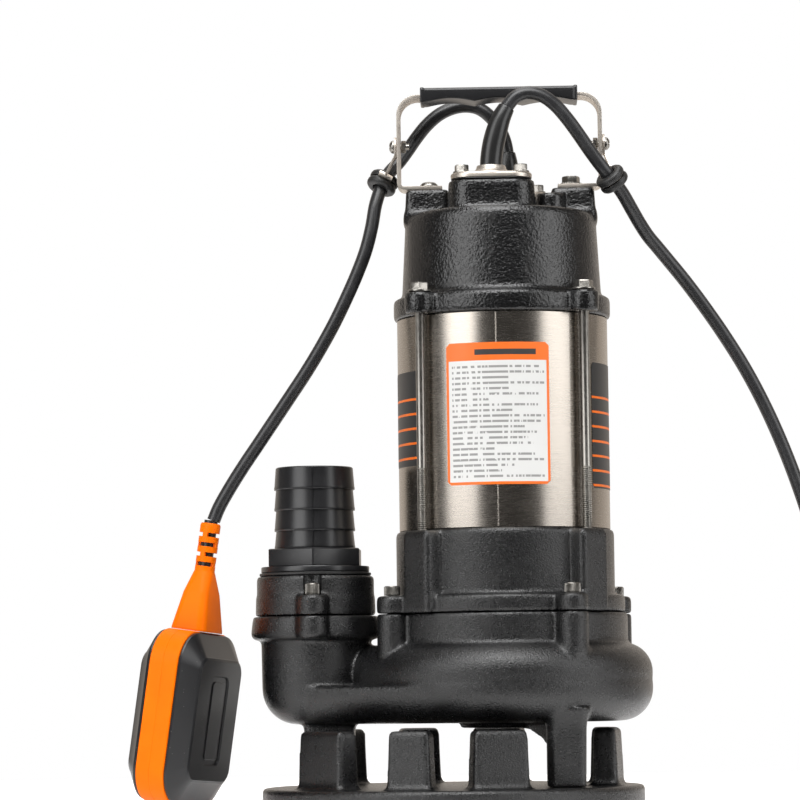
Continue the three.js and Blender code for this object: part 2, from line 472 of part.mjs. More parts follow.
// ---- outlet: threaded flange, its screws, washer and hose barb ----
{
  const { x, lugY, lug } = OUTLET;
  const { lugTop, cheek, radius, top, bore, relief, head, tall } = DISCHARGE;
  const low = VOLUTE.top + GAP;
  const lugs = stack([[x, -lugY, lug], [x, lugY, lug]], [[low, 0], [lugTop, 0]], ROUND);
  const cheeks = stack([[x, 0, cheek]], [[low, -0.4], [lugTop, 0]], ROUND);
  const upper = rod(radius, low, top, x, 0, ROUND);
  const holes = [rod(bore, low - 1, top + 1, x, 0, ROUND),
    ...outletScrews.map(([sx, sy]) => rod(SOCKET_SCREW.hole, low - 1, lugTop + 1, sx, sy, SMALL))];
  const reliefs = outletScrews.map(([sx, sy]) => rod(relief, lugTop, top + 1, sx, sy, 16));
  add('discharge_flange', cut(join(lugs, cheeks, upper), ...holes, ...reliefs), BLACK_CASTING);
  outletScrews.forEach(([sx, sy], i) => {
    add(`flange_screw_${i + 1}`, socketScrew(sx, sy, lugTop, head, tall), ZINC);
  });
  add('barb_washer', ring(bore + 0.1, 34.6, top + GAP, BARB.collarBottom - GAP, x, 0, ROUND), RUBBER);

  const { teeth, pipe, valley, collar, collarBottom, hexBottom } = BARB;
  const mouth = teeth[teeth.length - 1];
  const serrations = teeth.slice(0, -1).flatMap((z, i) => [[pipe, z], [pipe, z + 2], [valley, teeth[i + 1]]]);
  const tube = turned([[BARB.bore, BARB.bottom], [BARB.neck - 0.3, BARB.bottom], [BARB.neck, BARB.bottom + 2],
    [BARB.neck, collarBottom], [collar, collarBottom], [collar, hexBottom + 0.1], [BARB.neck, hexBottom + 0.1],
    [BARB.neck, teeth[0]], ...serrations, [BARB.bore + 1, mouth], [BARB.bore, mouth - 1]], ROUND, x, 0);
  const hexagon = cut(rod(BARB.hex, hexBottom, teeth[0], x, 0, 6),
    rod(BARB.bore + 1, hexBottom - 1, teeth[0] + 1, x, 0, ROUND));
  add('hose_barb', join(tube, hexagon), BLACK_PLASTIC);
}

// ---- float switch, built in its own frame: X across its width, Y up its length, Z through it ----
const floatUp = at(Math.sin(rad(FLOAT.lean)), 0, Math.cos(rad(FLOAT.lean)));
const floatThrough = at(Math.cos(rad(FLOAT.turn)), -Math.sin(rad(FLOAT.turn)), 0)
  .projectOnPlane(floatUp).normalize();
const floatAcross = floatUp.clone().cross(floatThrough);
const floatFrame = new THREE.Group();
floatFrame.position.set(...FLOAT.centre);
floatFrame.quaternion.setFromRotationMatrix(
  new THREE.Matrix4().makeBasis(floatAcross, floatUp, floatThrough));
pump.add(floatFrame);
{
  const { halfWidth, halfLength, corner, halfBand, halfThick, faceWidth, faceLength, faceCorner, wall } = FLOAT;
  const face = roundedRect(0, 0, faceWidth, faceLength, faceCorner);
  const outline = roundedRect(0, 0, halfWidth, halfLength, corner);
  const hollow = roundedRect(0, 0, halfWidth - wall - 0.5, halfLength - wall - 0.5, corner - wall);
  const rim = stack(outline, [[halfBand + GAP, 0.8], [halfBand + 2, 1]], ROUND);
  const top = stack(face, [[halfThick - 1.2, -1], [halfThick, 0]], ROUND);
  const hollowRim = stack(hollow, [[halfBand, 0], [halfBand + 1.5, 0]], ROUND);
  const hollowTop = stack(face, [[halfThick - wall - 1, 3], [halfThick - wall, 3.5]], ROUND);
  const shell = cut(wasm.Manifold.hull([rim, top]), wasm.Manifold.hull([hollowRim, hollowTop]));
  add('float_shell_right', shell, BLACK_PLASTIC, floatFrame);
  add('float_shell_left', shell.mirror([0, 0, 1]), BLACK_PLASTIC, floatFrame);
  const band = stack(outline, [[-halfBand, 0.6], [0.6 - halfBand, 0], [halfBand - 0.6, 0], [halfBand, 0.6]], ROUND);
  add('float_band', cut(band, stack(hollow, [[-halfBand - 1, 0], [halfBand + 1, 0]], ROUND)), ORANGE, floatFrame);
  const foot = halfLength + GAP;
  const skirt = stack(roundedRect(0, 0, 16, 12, 6), [[foot, 0], [foot + 1, 0]], 16);
  const waist = stack(roundedRect(0, 0, 11.5, 8.5, 5), [[77, 0], [78, 0]], 16);
  const neck = rod(6.6, 89.5, 90.5, 0, 0, 16);
  const boot = join(wasm.Manifold.hull([skirt, waist]), wasm.Manifold.hull([waist, neck]));
  const relief = rod(6.3, 88, 121, 0, 0, 16);
  add('float_boot', turn(join(boot, relief), -90, 0, 0), ORANGE, floatFrame);
  add('float_microswitch', block(-10, 10, 30, 44, -4, 4), BLACK_PLASTIC, floatFrame);
  add('float_ball', solid(new THREE.SphereGeometry(BALL.radius, 16, 10).translate(0, BALL.low, 0)),
    STEEL, floatFrame);
}

// ---- float cord: gland to clip, then clip to float ----
const FLOAT_CORD_UPPER = [[4.9, 27, 409.2], [3.7, 27, 415.7], [0, 27, 425], [-6.2, 27, 433], [-12.8, 27, 437.8],
  [-20.3, 26.9, 439.4], [-28.4, 26.6, 438.4], [-37.4, 26, 434.4], [-45.4, 25, 427.6], [-52.2, 23.4, 419.2],
  [-58, 21.2, 410.6], [-63.6, 18.6, 402.8], [-69.2, 16, 396.5], [-73.5, 13, 389.3], [-75, 11.6, 385.4]];
const FLOAT_CORD_LOWER = [[-78.2, 8.2, 374.6], [-80.6, 6, 360.9], [-84.4, 4.2, 345.9], [-90, 2.8, 331],
  [-97.7, 1.6, 313.8], [-105, 0.8, 299], [-113.3, 0.3, 284.2], [-122.4, 0, 269.4], [-132.3, 0, 254.7],
  [-142.4, 0, 239.9], [-152.5, 0, 225.1], [-162.6, 0, 210.4], [-171.6, 0, 196.2], [-177.6, 0, 185.6],
  [-181, 0, 177.6]];
add('float_cord_upper', tube(FLOAT_CORD_UPPER, CORD.radius, 16), CORD_JACKET);
add('float_cord_lower', tube(FLOAT_CORD_LOWER, CORD.radius, 16), CORD_JACKET);

// ---- supply cord: gland, arch over the handle, right-hand clip, then down to its coil ----
const POWER_CORD = [[4.9, -26.4, 430], [9.8, -26, 435.8], [17.5, -25.4, 438.8], [26.7, -24.6, 437],
  [34.8, -23.8, 431.2], [42.8, -23, 421.8], [49.3, -22.2, 412.6], [56.2, -22, 402.2], [63, -21.3, 392.8],
  [69.5, -17.5, 385.2], [75.6, -12.2, 377.6], [81.8, -6.5, 367.4], [86.7, -1.5, 359.4], [92, 3, 351.8],
  [98, 7, 345], [104.5, 10.5, 337.4], [114.6, 14.5, 325.2], [127, 17, 308.4], [140, 18.4, 289], [152.5, 19, 268],
  [164, 19, 245], [174.5, 18.4, 220], [184, 17, 193], [192.6, 15.2, 164], [200, 13, 134], [206.8, 10.4, 104],
  [213.6, 7.6, 76], [221.4, 5.2, 51], [230.4, 3.8, 34.6], [243, 2.9, 24.3]];
add('power_cord', tube(POWER_CORD, CORD.radius, 48), CORD_JACKET);
{
  const { x, y, mid, half, height } = COIL;
  const lane = mid + half - CORD.radius;
  const wound = ring(mid - half, mid + half, GAP, height, x, y, FINE);
  const entry = strip([x - 38, y - lane, 22.6], [x, y - lane, 21.4], [0, 7.6, 0], 7.6);
  const exit = strip([x + lane, y, 29], [x + lane, y + 37, 20.6], [7.6, 0, 0], 7.4);
  add('power_cord_coil', join(wound, entry, exit), CORD_JACKET);

  const { radius, length, pinLength, pinRadius, pinSpread } = PLUG;
  const relief = 32;
  const body = turned([[0, 0], [5, 0], [8, relief - 4], [12, relief], [14.5, relief + 6], [14.5, relief + length - 16],
    [radius, relief + length - 12], [radius, relief + length], [0, relief + length]], 16);
  const pins = [-1, 1].map((side) => rod(pinRadius, relief + length - 2, relief + length + pinLength,
    side * pinSpread, 0, SMALL));
  const plug = turn(join(body, ...pins), -90, 0, 0).translate([x + lane, y + 38 + GAP, radius + GAP]);
  add('power_plug', plug, BLACK_PLASTIC);
}

export default pump;
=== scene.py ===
"""Looks for a submersible sewage pump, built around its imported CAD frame.

Lengths in the shape code are millimetres in the frame's own axes: the shaft is the Z axis, the strainer
base stands on Z = 0, -Y is the front and -X is the outlet side. Meshes are scaled to metres when made.
"""
import math

import bpy
import numpy as np
from mathutils import Matrix, Vector


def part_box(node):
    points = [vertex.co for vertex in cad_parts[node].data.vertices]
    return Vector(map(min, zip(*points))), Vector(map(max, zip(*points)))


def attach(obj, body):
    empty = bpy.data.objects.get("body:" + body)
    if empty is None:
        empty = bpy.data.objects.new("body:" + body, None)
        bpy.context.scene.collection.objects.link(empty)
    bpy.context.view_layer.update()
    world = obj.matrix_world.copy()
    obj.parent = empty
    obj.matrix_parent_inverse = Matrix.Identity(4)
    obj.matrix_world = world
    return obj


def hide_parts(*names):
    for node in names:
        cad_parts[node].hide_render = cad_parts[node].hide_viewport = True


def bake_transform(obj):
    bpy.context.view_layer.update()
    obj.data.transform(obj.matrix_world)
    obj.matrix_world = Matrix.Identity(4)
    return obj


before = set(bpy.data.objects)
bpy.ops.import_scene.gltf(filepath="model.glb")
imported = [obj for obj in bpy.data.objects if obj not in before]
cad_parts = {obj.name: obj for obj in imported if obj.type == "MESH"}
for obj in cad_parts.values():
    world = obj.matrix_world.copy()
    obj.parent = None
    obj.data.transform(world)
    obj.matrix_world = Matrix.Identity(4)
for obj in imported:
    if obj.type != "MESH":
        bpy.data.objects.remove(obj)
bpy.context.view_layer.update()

bl_info = {
    "name": "Submersible Sewage Pump",
    "version": (1, 0, 0),
    "blender": (4, 5, 0),
    "location": "View3D > Sidebar > Pump",
    "description": "Builds the visible pieces and finishes of a submersible sewage pump around its frame",
    "category": "Add Mesh",
}

MM = 0.001


def node_box(node):
    """Lowest and highest corner of a frame node, in millimetres."""
    low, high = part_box(node)
    return np.array(low) / MM, np.array(high) / MM


def span(node, axis):
    """Lowest and highest value of a frame node along one axis, in millimetres."""
    low, high = node_box(node)
    return float(low[axis]), float(high[axis])


def middle(node):
    """Centre of a frame node's box, in millimetres."""
    low, high = node_box(node)
    return (low + high) / 2


# ---------------------------------------------------------------------------
# Solids: (vertices, faces) in millimetres
# ---------------------------------------------------------------------------

def circle_outline(circles, inset, sides):
    """Points on the convex line around a set of circles (x, y, radius), drawn in by an inset."""
    data = np.array(circles, float)
    angles = 2 * math.pi * (np.arange(sides) + 0.5) / sides
    normals = np.stack([np.cos(angles), np.sin(angles)], 1)
    best = (normals @ data[:, :2].T + data[:, 2]).argmax(1)
    return data[best, :2] + (data[best, 2] - inset)[:, None] * normals


def rings_solid(rings, capped=True):
    """Joins equal rings of points into one closed skin. Uncapped, the last ring meets the first."""
    sides = len(rings[0])
    points = np.concatenate(rings)
    faces = []
    joins = len(rings) - 1 if capped else len(rings)
    for level in range(joins):
        a, b = level * sides, (level + 1) % len(rings) * sides
        for i in range(sides):
            j = (i + 1) % sides
            faces.append((a + i, a + j, b + j, b + i))
    if capped:
        faces.append(tuple(range(sides - 1, -1, -1)))
        faces.append(tuple(range(len(points) - sides, len(points))))
    return points, faces


def stack(circles, levels, sides=96):
    """Outlines around circles, one for each level (height, inset), joined into a solid."""
    rings = []
    for height, inset in levels:
        flat = circle_outline(circles, inset, sides)
        rings.append(np.column_stack([flat, np.full(sides, float(height))]))
    return rings_solid(rings)


def round_foot(z, radius, steps=8):
    """Levels that round the lower edge of a stack."""
    turns = [math.pi / 2 * i / steps for i in range(steps + 1)]
    return [(z + radius * (1 - math.cos(a)), radius * (1 - math.sin(a))) for a in turns]


def round_head(z, radius, steps=8):
    """Levels that round the upper edge of a stack."""
    return [(2 * z - rise, inset) for rise, inset in reversed(round_foot(z, radius, steps))]


def rounded_rect(x, y, half_x, half_y, corner):
    """Four corner circles of a rounded rectangle."""
    signs = [(1, 1), (-1, 1), (-1, -1), (1, -1)]
    return [(x + sx * (half_x - corner), y + sy * (half_y - corner), corner) for sx, sy in signs]


def turned(profile, sides=96, x=0.0, y=0.0):
    """A closed profile of (radius, height) points turned about a vertical axis."""
    angles = 2 * math.pi * np.arange(sides) / sides
    points, groups, faces = [], [], []
    for radius, height in profile:
        if radius < 1e-6:
            groups.append([len(points)] * sides)
            points.append((x, y, height))
        else:
            groups.append(list(range(len(points), len(points) + sides)))
            points += [(x + radius * math.cos(a), y + radius * math.sin(a), height) for a in angles]
    count = len(profile)
    on_axis = profile[0][0] < 1e-6 and profile[-1][0] < 1e-6
    for k in range(count - 1 if on_axis else count):
        low, high = groups[k], groups[(k + 1) % count]
        for i in range(sides):
            j = (i + 1) % sides
            corners = [low[i], low[j], high[j], high[i]]
            face = [c for n, c in enumerate(corners) if c != corners[n - 1]]
            if len(set(face)) > 2:
                faces.append(tuple(face))
    return np.array(points, float), faces


def rod(radius, z0, z1, x=0.0, y=0.0, sides=32):
    """An upright cylinder."""
    return turned([(0, z0), (radius, z0), (radius, z1), (0, z1)], sides, x, y)


def block(x0, x1, y0, y1, z0, z1):
    """A box between two corners."""
    return stack([(x0, y0, 0), (x1, y0, 0), (x1, y1, 0), (x0, y1, 0)], [(z0, 0), (z1, 0)], 4)


def prism(outline, y0, y1):
    """An outline of (x, z) points drawn out along Y."""
    rings = [np.array([(x, y, z) for x, z in outline], float) for y in (y0, y1)]
    return rings_solid(rings)


def hexagon(across_flats, z0, z1, x=0.0, y=0.0, turn=0.0):
    """A hexagonal head, with its top corners turned off as on a real screw."""
    corner = across_flats / math.sqrt(3)
    rings = []
    for z, share in ((z0, 1.0), (z1 - 0.1 * across_flats, 1.0), (z1, 0.93)):
        angles = math.radians(turn) + math.pi / 3 * np.arange(6)
        rings.append(np.column_stack([x + share * corner * np.cos(angles),
                                      y + share * corner * np.sin(angles), np.full(6, z)]))
    return rings_solid(rings)


def moved(solid, matrix):
    """A solid carried by a 4x4 matrix."""
    points, faces = solid
    grid = np.array(matrix)
    return points @ grid[:3, :3].T + grid[:3, 3], faces


def shifted(solid, x=0.0, y=0.0, z=0.0):
    """A solid moved along the axes."""
    return solid[0] + np.array([x, y, z]), solid[1]


def spun(solid, degrees, x=0.0, y=0.0):
    """A solid turned about an upright axis through (x, y)."""
    place = Matrix.Translation((x, y, 0))
    return moved(solid, place @ Matrix.Rotation(math.radians(degrees), 4, "Z") @ place.inverted())


def aimed(solid, direction, place):
    """A solid built along +Z, pointed along a direction and set down at a place."""
    turn = Vector((0, 0, 1)).rotation_difference(Vector(direction)).to_matrix().to_4x4()
    return moved(solid, Matrix.Translation(place) @ turn)


def together(*solids):
    """Several solids as one list of points and faces."""
    points, faces, base = [], [], 0
    for part_points, part_faces in solids:
        points.append(part_points)
        faces += [tuple(i + base for i in face) for face in part_faces]
        base += len(part_points)
    return np.concatenate(points), faces


def smooth_line(points, step=1.5):
    """Evenly spaced points on a centripetal Catmull-Rom line through the given points."""
    p = np.array(points, float)
    p = np.vstack([2 * p[0] - p[1], p, 2 * p[-1] - p[-2]])
    knots = np.concatenate([[0], np.cumsum(np.sqrt(np.linalg.norm(np.diff(p, axis=0), axis=1)))])
    dense = []
    for k in range(1, len(p) - 2):
        t0, t1, t2, t3 = knots[k - 1:k + 3]
        for t in np.linspace(t1, t2, 24, endpoint=False):
            a1 = (t1 - t) / (t1 - t0) * p[k - 1] + (t - t0) / (t1 - t0) * p[k]
            a2 = (t2 - t) / (t2 - t1) * p[k] + (t - t1) / (t2 - t1) * p[k + 1]
            a3 = (t3 - t) / (t3 - t2) * p[k + 1] + (t - t2) / (t3 - t2) * p[k + 2]
            b1 = (t2 - t) / (t2 - t0) * a1 + (t - t0) / (t2 - t0) * a2
            b2 = (t3 - t) / (t3 - t1) * a2 + (t - t1) / (t3 - t1) * a3
            dense.append((t2 - t) / (t2 - t1) * b1 + (t - t1) / (t2 - t1) * b2)
    dense.append(p[-2])
    return resampled(np.array(dense), step)


def resampled(line, step):
    """The same line with points an even step apart."""
    lengths = np.concatenate([[0], np.cumsum(np.linalg.norm(np.diff(line, axis=0), axis=1))])
    count = max(2, int(round(lengths[-1] / step)) + 1)
    marks = np.linspace(0, lengths[-1], count)
    return np.stack([np.interp(marks, lengths, line[:, k]) for k in range(3)], 1)


def line_length(line):
    """Length of a line of points."""
    return float(np.linalg.norm(np.diff(line, axis=0), axis=1).sum())


def tube(line, radius, sides=24, cap=0.0):
    """A round tube along a line. The radius is a number or one value for each point."""
    radii = np.broadcast_to(np.asarray(radius, float), (len(line),))
    tangents = np.gradient(line, axis=0)
    tangents /= np.linalg.norm(tangents, axis=1)[:, None]
    side = np.cross(tangents[0], (0.0, 1.0, 0.0))
    if np.linalg.norm(side) < 0.1:
        side = np.cross(tangents[0], (1.0, 0.0, 0.0))
    angles = 2 * math.pi * np.arange(sides) / sides
    rings = []
    for place, along, size in zip(line, tangents, radii):
        side = side - along * (side @ along)
        side /= np.linalg.norm(side)
        up = np.cross(along, side)
        rings.append(place + size * (np.cos(angles)[:, None] * side + np.sin(angles)[:, None] * up))
    if cap:
        ends = [(rings[0], line[0], -tangents[0]), (rings[-1], line[-1], tangents[-1])]
        first, last = [place + 0.6 * (ring - place) + cap * out for ring, place, out in ends]
        rings = [first] + rings + [last]
    return rings_solid(rings)


# ---------------------------------------------------------------------------
# Pieces: Blender objects made from solids
# ---------------------------------------------------------------------------

def new_object(name, solid):
    """A mesh object in metres from a solid in millimetres."""
    mesh = bpy.data.meshes.new(name)
    mesh.from_pydata((solid[0] * MM).tolist(), [], solid[1])
    mesh.validate()
    obj = bpy.data.objects.new(name, mesh)
    bpy.context.scene.collection.objects.link(obj)
    return obj


def add_modifier(obj, kind, **settings):
    """Adds one modifier and applies it to the mesh."""
    modifier = obj.modifiers.new(kind, kind)
    for key, value in settings.items():
        setattr(modifier, key, value)
    graph = bpy.context.evaluated_depsgraph_get()
    result = bpy.data.meshes.new_from_object(obj.evaluated_get(graph))
    obj.modifiers.clear()
    old = obj.data
    obj.data = result
    bpy.data.meshes.remove(old)


def bevel(obj, width, segments=2, angle=35):
    """Rounds the edges of a piece that are sharper than an angle."""
    add_modifier(obj, "BEVEL", width=width * MM, segments=segments, limit_method="ANGLE",
                 angle_limit=math.radians(angle), use_clamp_overlap=True, harden_normals=False)


def boolean(obj, solid, operation="DIFFERENCE"):
    """Cuts a solid out of a piece, or joins it on."""
    tool = new_object("tool", solid)
    add_modifier(obj, "BOOLEAN", operation=operation, object=tool, solver="MANIFOLD")
    bpy.data.objects.remove(tool)


def merged(name, *solids):
    """Overlapping solids joined into one closed skin."""
    obj = new_object(name, solids[0])
    for solid in solids[1:]:
        boolean(obj, solid, "UNION")
    return obj


def cast(name, solids, cutters=(), voxel=1.3, soften=6, trims=()):
    """A casting: solids run together with soft fillets, then bored and faced by crisp cutters."""
    obj = new_object(name, together(*solids))
    add_modifier(obj, "REMESH", mode="VOXEL", voxel_size=voxel * MM, adaptivity=0.0)
    if soften:
        add_modifier(obj, "SMOOTH", factor=0.5, iterations=soften)
    for cutter in list(trims) + list(cutters):
        boolean(obj, cutter)
    return obj


def finish_piece(obj, material, body="root", nodes=(), sharp=38):
    """Shades a piece, gives it its material, and fixes it to its body."""
    obj.data.materials.clear()
    obj.data.materials.append(material)
    obj.data.shade_smooth()
    obj.data.set_sharp_from_angle(angle=math.radians(sharp))
    if body:
        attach(obj, body)
    if nodes:
        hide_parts(*nodes)
    return obj


# ---------------------------------------------------------------------------
# Finishes: shader expressions and the materials built from them
# ---------------------------------------------------------------------------

class Wire:
    """A shader socket that can be used in Python arithmetic."""

    def __init__(self, finish, socket):
        self.finish = finish
        self.socket = socket

    def _math(self, operation, *values):
        node = self.finish.node("ShaderNodeMath", {"operation": operation}, dict(enumerate(values)))
        return Wire(self.finish, node.outputs[0])

    def __add__(self, other):
        return self._math("ADD", self, other)

    __radd__ = __add__

    def __sub__(self, other):
        return self._math("SUBTRACT", self, other)

    def __rsub__(self, other):
        return self._math("SUBTRACT", other, self)

    def __mul__(self, other):
        return self._math("MULTIPLY", self, other)

    __rmul__ = __mul__

    def __truediv__(self, other):
        return self._math("DIVIDE", self, other)

    def __gt__(self, other):
        return self._math("GREATER_THAN", self, other)

    def __lt__(self, other):
        return self._math("LESS_THAN", self, other)

    def __abs__(self):
        return self._math("ABSOLUTE", self)

    def floor(self):
        return self._math("FLOOR", self)

    def fraction(self):
        return self._math("FRACT", self)

    def arctan2(self, other):
        return self._math("ARCTAN2", self, other)

    def ramp(self, low, high):
        """0 below low, 1 above high, smooth between them."""
        node = self.finish.node("ShaderNodeMapRange", {"interpolation_type": "SMOOTHSTEP"},
                                {"Value": self, "From Min": low, "From Max": high})
        return Wire(self.finish, node.outputs["Result"])


class Finish:
    """One procedural material. Places on the surface are read in millimetres of the frame."""

    def __init__(self, name, colour, roughness, metallic=0.0, **constants):
        self.material = bpy.data.materials.new(name)
        self.material.use_nodes = True
        self.tree = self.material.node_tree
        self.shader = self.tree.nodes["Principled BSDF"]
        self.put(self.shader.inputs["Base Color"], colour)
        self.put(self.shader.inputs["Roughness"], roughness)
        self.put(self.shader.inputs["Metallic"], metallic)
        for key, value in constants.items():
            self.put(self.shader.inputs[key.replace("_", " ")], value)
        coords = self.node("ShaderNodeTexCoord")
        self.place = self.vector("SCALE", coords.outputs["Object"], Scale=1 / MM)
        self.material.diffuse_color = tuple(colour) + (1,) if len(colour) == 3 else tuple(colour)

    def put(self, socket, value):
        """Sets a socket's value, or links another socket to it."""
        if isinstance(value, Wire):
            value = value.socket
        if isinstance(value, bpy.types.NodeSocket):
            self.tree.links.new(value, socket)
        elif hasattr(value, "__len__"):
            full = tuple(value)
            socket.default_value = full + (1.0,) if len(full) < len(socket.default_value) else full
        else:
            socket.default_value = value

    def node(self, kind, settings=None, inputs=None):
        """Adds a node: its settings first, then the values or links of its sockets."""
        node = self.tree.nodes.new(kind)
        for key, value in (settings or {}).items():
            setattr(node, key, value)
        for key, value in (inputs or {}).items():
            self.put(node.inputs[key], value)
        return node

    def vector(self, operation, *values, **named):
        """A Vector Math node."""
        inputs = dict(enumerate(values))
        inputs.update(named)
        return self.node("ShaderNodeVectorMath", {"operation": operation}, inputs).outputs[0]

    def axes(self):
        """The x, y and z of a place on the surface."""
        node = self.node("ShaderNodeSeparateXYZ", None, {0: self.place})
        return [Wire(self, socket) for socket in node.outputs]

    def noise(self, size, detail=2.0, stretch=(1, 1, 1), roughness=0.5, place=None):
        """Noise with lumps of about a size in millimetres, drawn out along the axes by stretch."""
        spread = self.vector("DIVIDE", place or self.place, stretch)
        node = self.node("ShaderNodeTexNoise", None, {
            "Vector": spread, "Scale": 1 / size, "Detail": detail, "Roughness": roughness})
        return Wire(self, node.outputs[0])

    def cells(self, size):
        """Distance to the middle of the nearest cell, for specks and dimples."""
        node = self.node("ShaderNodeTexVoronoi", None, {"Vector": self.place, "Scale": 1 / size})
        return Wire(self, node.outputs["Distance"])

    def mix(self, share, first, second):
        """A colour between two colours."""
        node = self.node("ShaderNodeMix", {"data_type": "RGBA"}, {0: share, 6: first, 7: second})
        return node.outputs[2]

    def colour(self, value):
        self.put(self.shader.inputs["Base Color"], value)
        return self

    def rough(self, value):
        self.put(self.shader.inputs["Roughness"], value)
        return self

    def bump(self, height, depth, strength=1.0):
        """Relief of a depth in millimetres, laid over any relief given before."""
        normal = self.shader.inputs["Normal"]
        inputs = {"Height": height, "Distance": depth * MM, "Strength": strength}
        if normal.is_linked:
            inputs["Normal"] = normal.links[0].from_socket
        self.put(normal, self.node("ShaderNodeBump", None, inputs).outputs[0])
        return self

    def worn_edges(self, base, worn, share=0.5):
        """Lightens the colour where the surface turns a sharp corner."""
        point = self.node("ShaderNodeNewGeometry").outputs["Pointiness"]
        edge = Wire(self, point).ramp(0.53, 0.62) * share
        return self.mix(edge, base, worn)


def tint(colour, factor):
    """A lighter or darker version of a colour."""
    return tuple(min(1.0, c * factor) for c in tuple(colour)[:3])


def enamel(name, colour, lump, depth, roughness):
    """Sprayed black enamel over sand-cast iron: lumps, glints, a finer grain and a little dust."""
    look = Finish(name, colour, roughness, Specular_IOR_Level=0.62)
    lumps = look.noise(lump, 1.5)
    grain = look.noise(lump * 0.45, 1.0)
    glint = look.noise(lump * 1.6, 1.0).ramp(0.46, 0.64)
    dust = look.noise(16.0, 4.0).ramp(0.52, 0.78)
    look.colour(look.mix(dust * 0.3, tint(colour, 0.7), (0.011, 0.0095, 0.008)))
    look.rough(roughness + 0.03 - 0.03 * glint + 0.05 * dust)
    look.bump(lumps, depth)
    look.bump(grain, depth * 0.35)
    return look.material


def moulded(name, colour, roughness, grain=0.5, depth=0.02, dust=0.25, **constants):
    """Moulded plastic or rubber: a faint grain, flow marks and settled dust."""
    look = Finish(name, colour, roughness, **constants)
    texture = look.noise(grain, 2.0)
    flow = look.noise(18.0, 3.0)
    specks = (1.0 - look.cells(2.6).ramp(0.05, 0.12)) * look.noise(6.0, 1.0).ramp(0.55, 0.65) * dust
    look.colour(look.mix(specks, look.mix(flow, tint(colour, 0.88), tint(colour, 1.12)), (0.5, 0.48, 0.45)))
    look.rough(roughness + 0.08 * (flow - 0.5) + 0.1 * specks)
    look.bump(texture, depth)
    return look.material


def brushed(name, colour, roughness, stretch, grain=0.35, depth=0.012, anisotropic=0.0):
    """Brushed or ground metal. The scratches run along the axes that stretch draws out."""
    look = Finish(name, colour, roughness, 1.0, Anisotropic=anisotropic)
    scratches = look.noise(grain, 2.0, stretch)
    wide = look.noise(grain * 6, 2.0, stretch)
    smudge = look.noise(22.0, 3.0)
    look.colour(look.mix(smudge, tint(colour, 0.9), tint(colour, 1.06)))
    look.rough(roughness + 0.12 * (scratches - 0.5) + 0.10 * (smudge - 0.5))
    look.bump(scratches, depth)
    look.bump(wide, depth)
    return look.material


def plated(name, colour, roughness):
    """Zinc plate or turned steel: bright, with cloudy passivation and fine tool marks."""
    look = Finish(name, colour, roughness, 1.0)
    cloud = look.noise(4.0, 3.0)
    marks = look.noise(0.25, 1.0, (1, 1, 4))
    look.colour(look.mix(cloud, tint(colour, 0.72), tint(colour, 1.1)))
    look.rough(roughness + 0.22 * (cloud - 0.4))
    look.bump(marks, 0.008)
    return look.material


def jacket(name, colour, roughness):
    """Cord jacket: smooth rubber with faint drawing marks and a little bloom."""
    look = Finish(name, colour, roughness, Specular_IOR_Level=0.5)
    bloom = look.noise(9.0, 3.0)
    ripple = look.noise(3.0, 2.0)
    look.colour(look.mix(bloom, tint(colour, 0.7), tint(colour, 1.6)))
    look.rough(roughness + 0.14 * (bloom - 0.5))
    look.bump(ripple, 0.005)
    return look.material


def rating_plate(name, paper, accent, ink, low, high):
    """A generic label on the sleeve: a coloured border and header bar, and rows of grey bars."""
    look = Finish(name, paper, 0.38, Specular_IOR_Level=0.4)
    x, y, z = look.axes()
    across = x.arctan2(0.0 - y) * (180 / math.pi)
    rise = z - low
    tall = high - low
    edge = 1.0 - (rise > 1.7) * (rise < tall - 11.0) * (across > -29.9) * (across < 23.9)
    header = (rise > tall - 7.6) * (rise < tall - 4.2) * (across > -15.0) * (across < 18.0)
    pitch = 3.32
    row = (rise / pitch).floor()
    within = (rise / pitch).fraction()
    line = (within > 0.3) * (within < 0.72) * (rise > 3.4) * (rise < tall - 13.0)
    reach = look.node("ShaderNodeTexWhiteNoise", {"noise_dimensions": "1D"}, {"W": row})
    reach = Wire(look, reach.outputs[0])
    words = line * (across > -28.0) * (across < 22.5 - reach * reach * reach * 34.0)
    gaps = look.noise(1.5, 0.0, (1, 1, 9)).ramp(0.4, 0.46)
    colour = look.mix(words * gaps * 0.62, paper, ink)
    colour = look.mix(edge, colour, accent)
    colour = look.mix(header, colour, ink)
    look.colour(look.mix(look.noise(20.0, 2.0) * 0.12, colour, (0.35, 0.33, 0.3)))
    look.bump(look.noise(0.8, 1.0), 0.01)
    return look.material


def painted_reflection_band(name, ground, accent, low, pitch, share, limit):
    """A dark sheet of painted reflection, with thin stripes of the accent colour up to a height: the dark ground
    stands in for a dark reflection band on the steel.
    """
    look = Finish(name, ground, 0.4, Specular_IOR_Level=0.4)
    z = look.axes()[2]
    stripe = (((z - low) / pitch).fraction() < share) * (z < limit)
    look.colour(look.mix(stripe, ground, accent))
    look.bump(look.noise(0.8, 1.0), 0.01)
    return look.material


# ---------------------------------------------------------------------------
# Sizes and finishes that a user may change
# ---------------------------------------------------------------------------

def colour_property(name, description, default):
    return bpy.props.FloatVectorProperty(name=name, description=description, default=default,
                                         subtype="COLOR", size=3, min=0.0, max=1.0)


def length_property(name, description, default):
    return bpy.props.FloatProperty(name=name, description=description, default=default, min=0.0,
                                   unit="LENGTH", subtype="DISTANCE", precision=4)


def share_property(name, description, default):
    return bpy.props.FloatProperty(name=name, description=description, default=default, min=0.0,
                                   max=1.0, subtype="FACTOR")


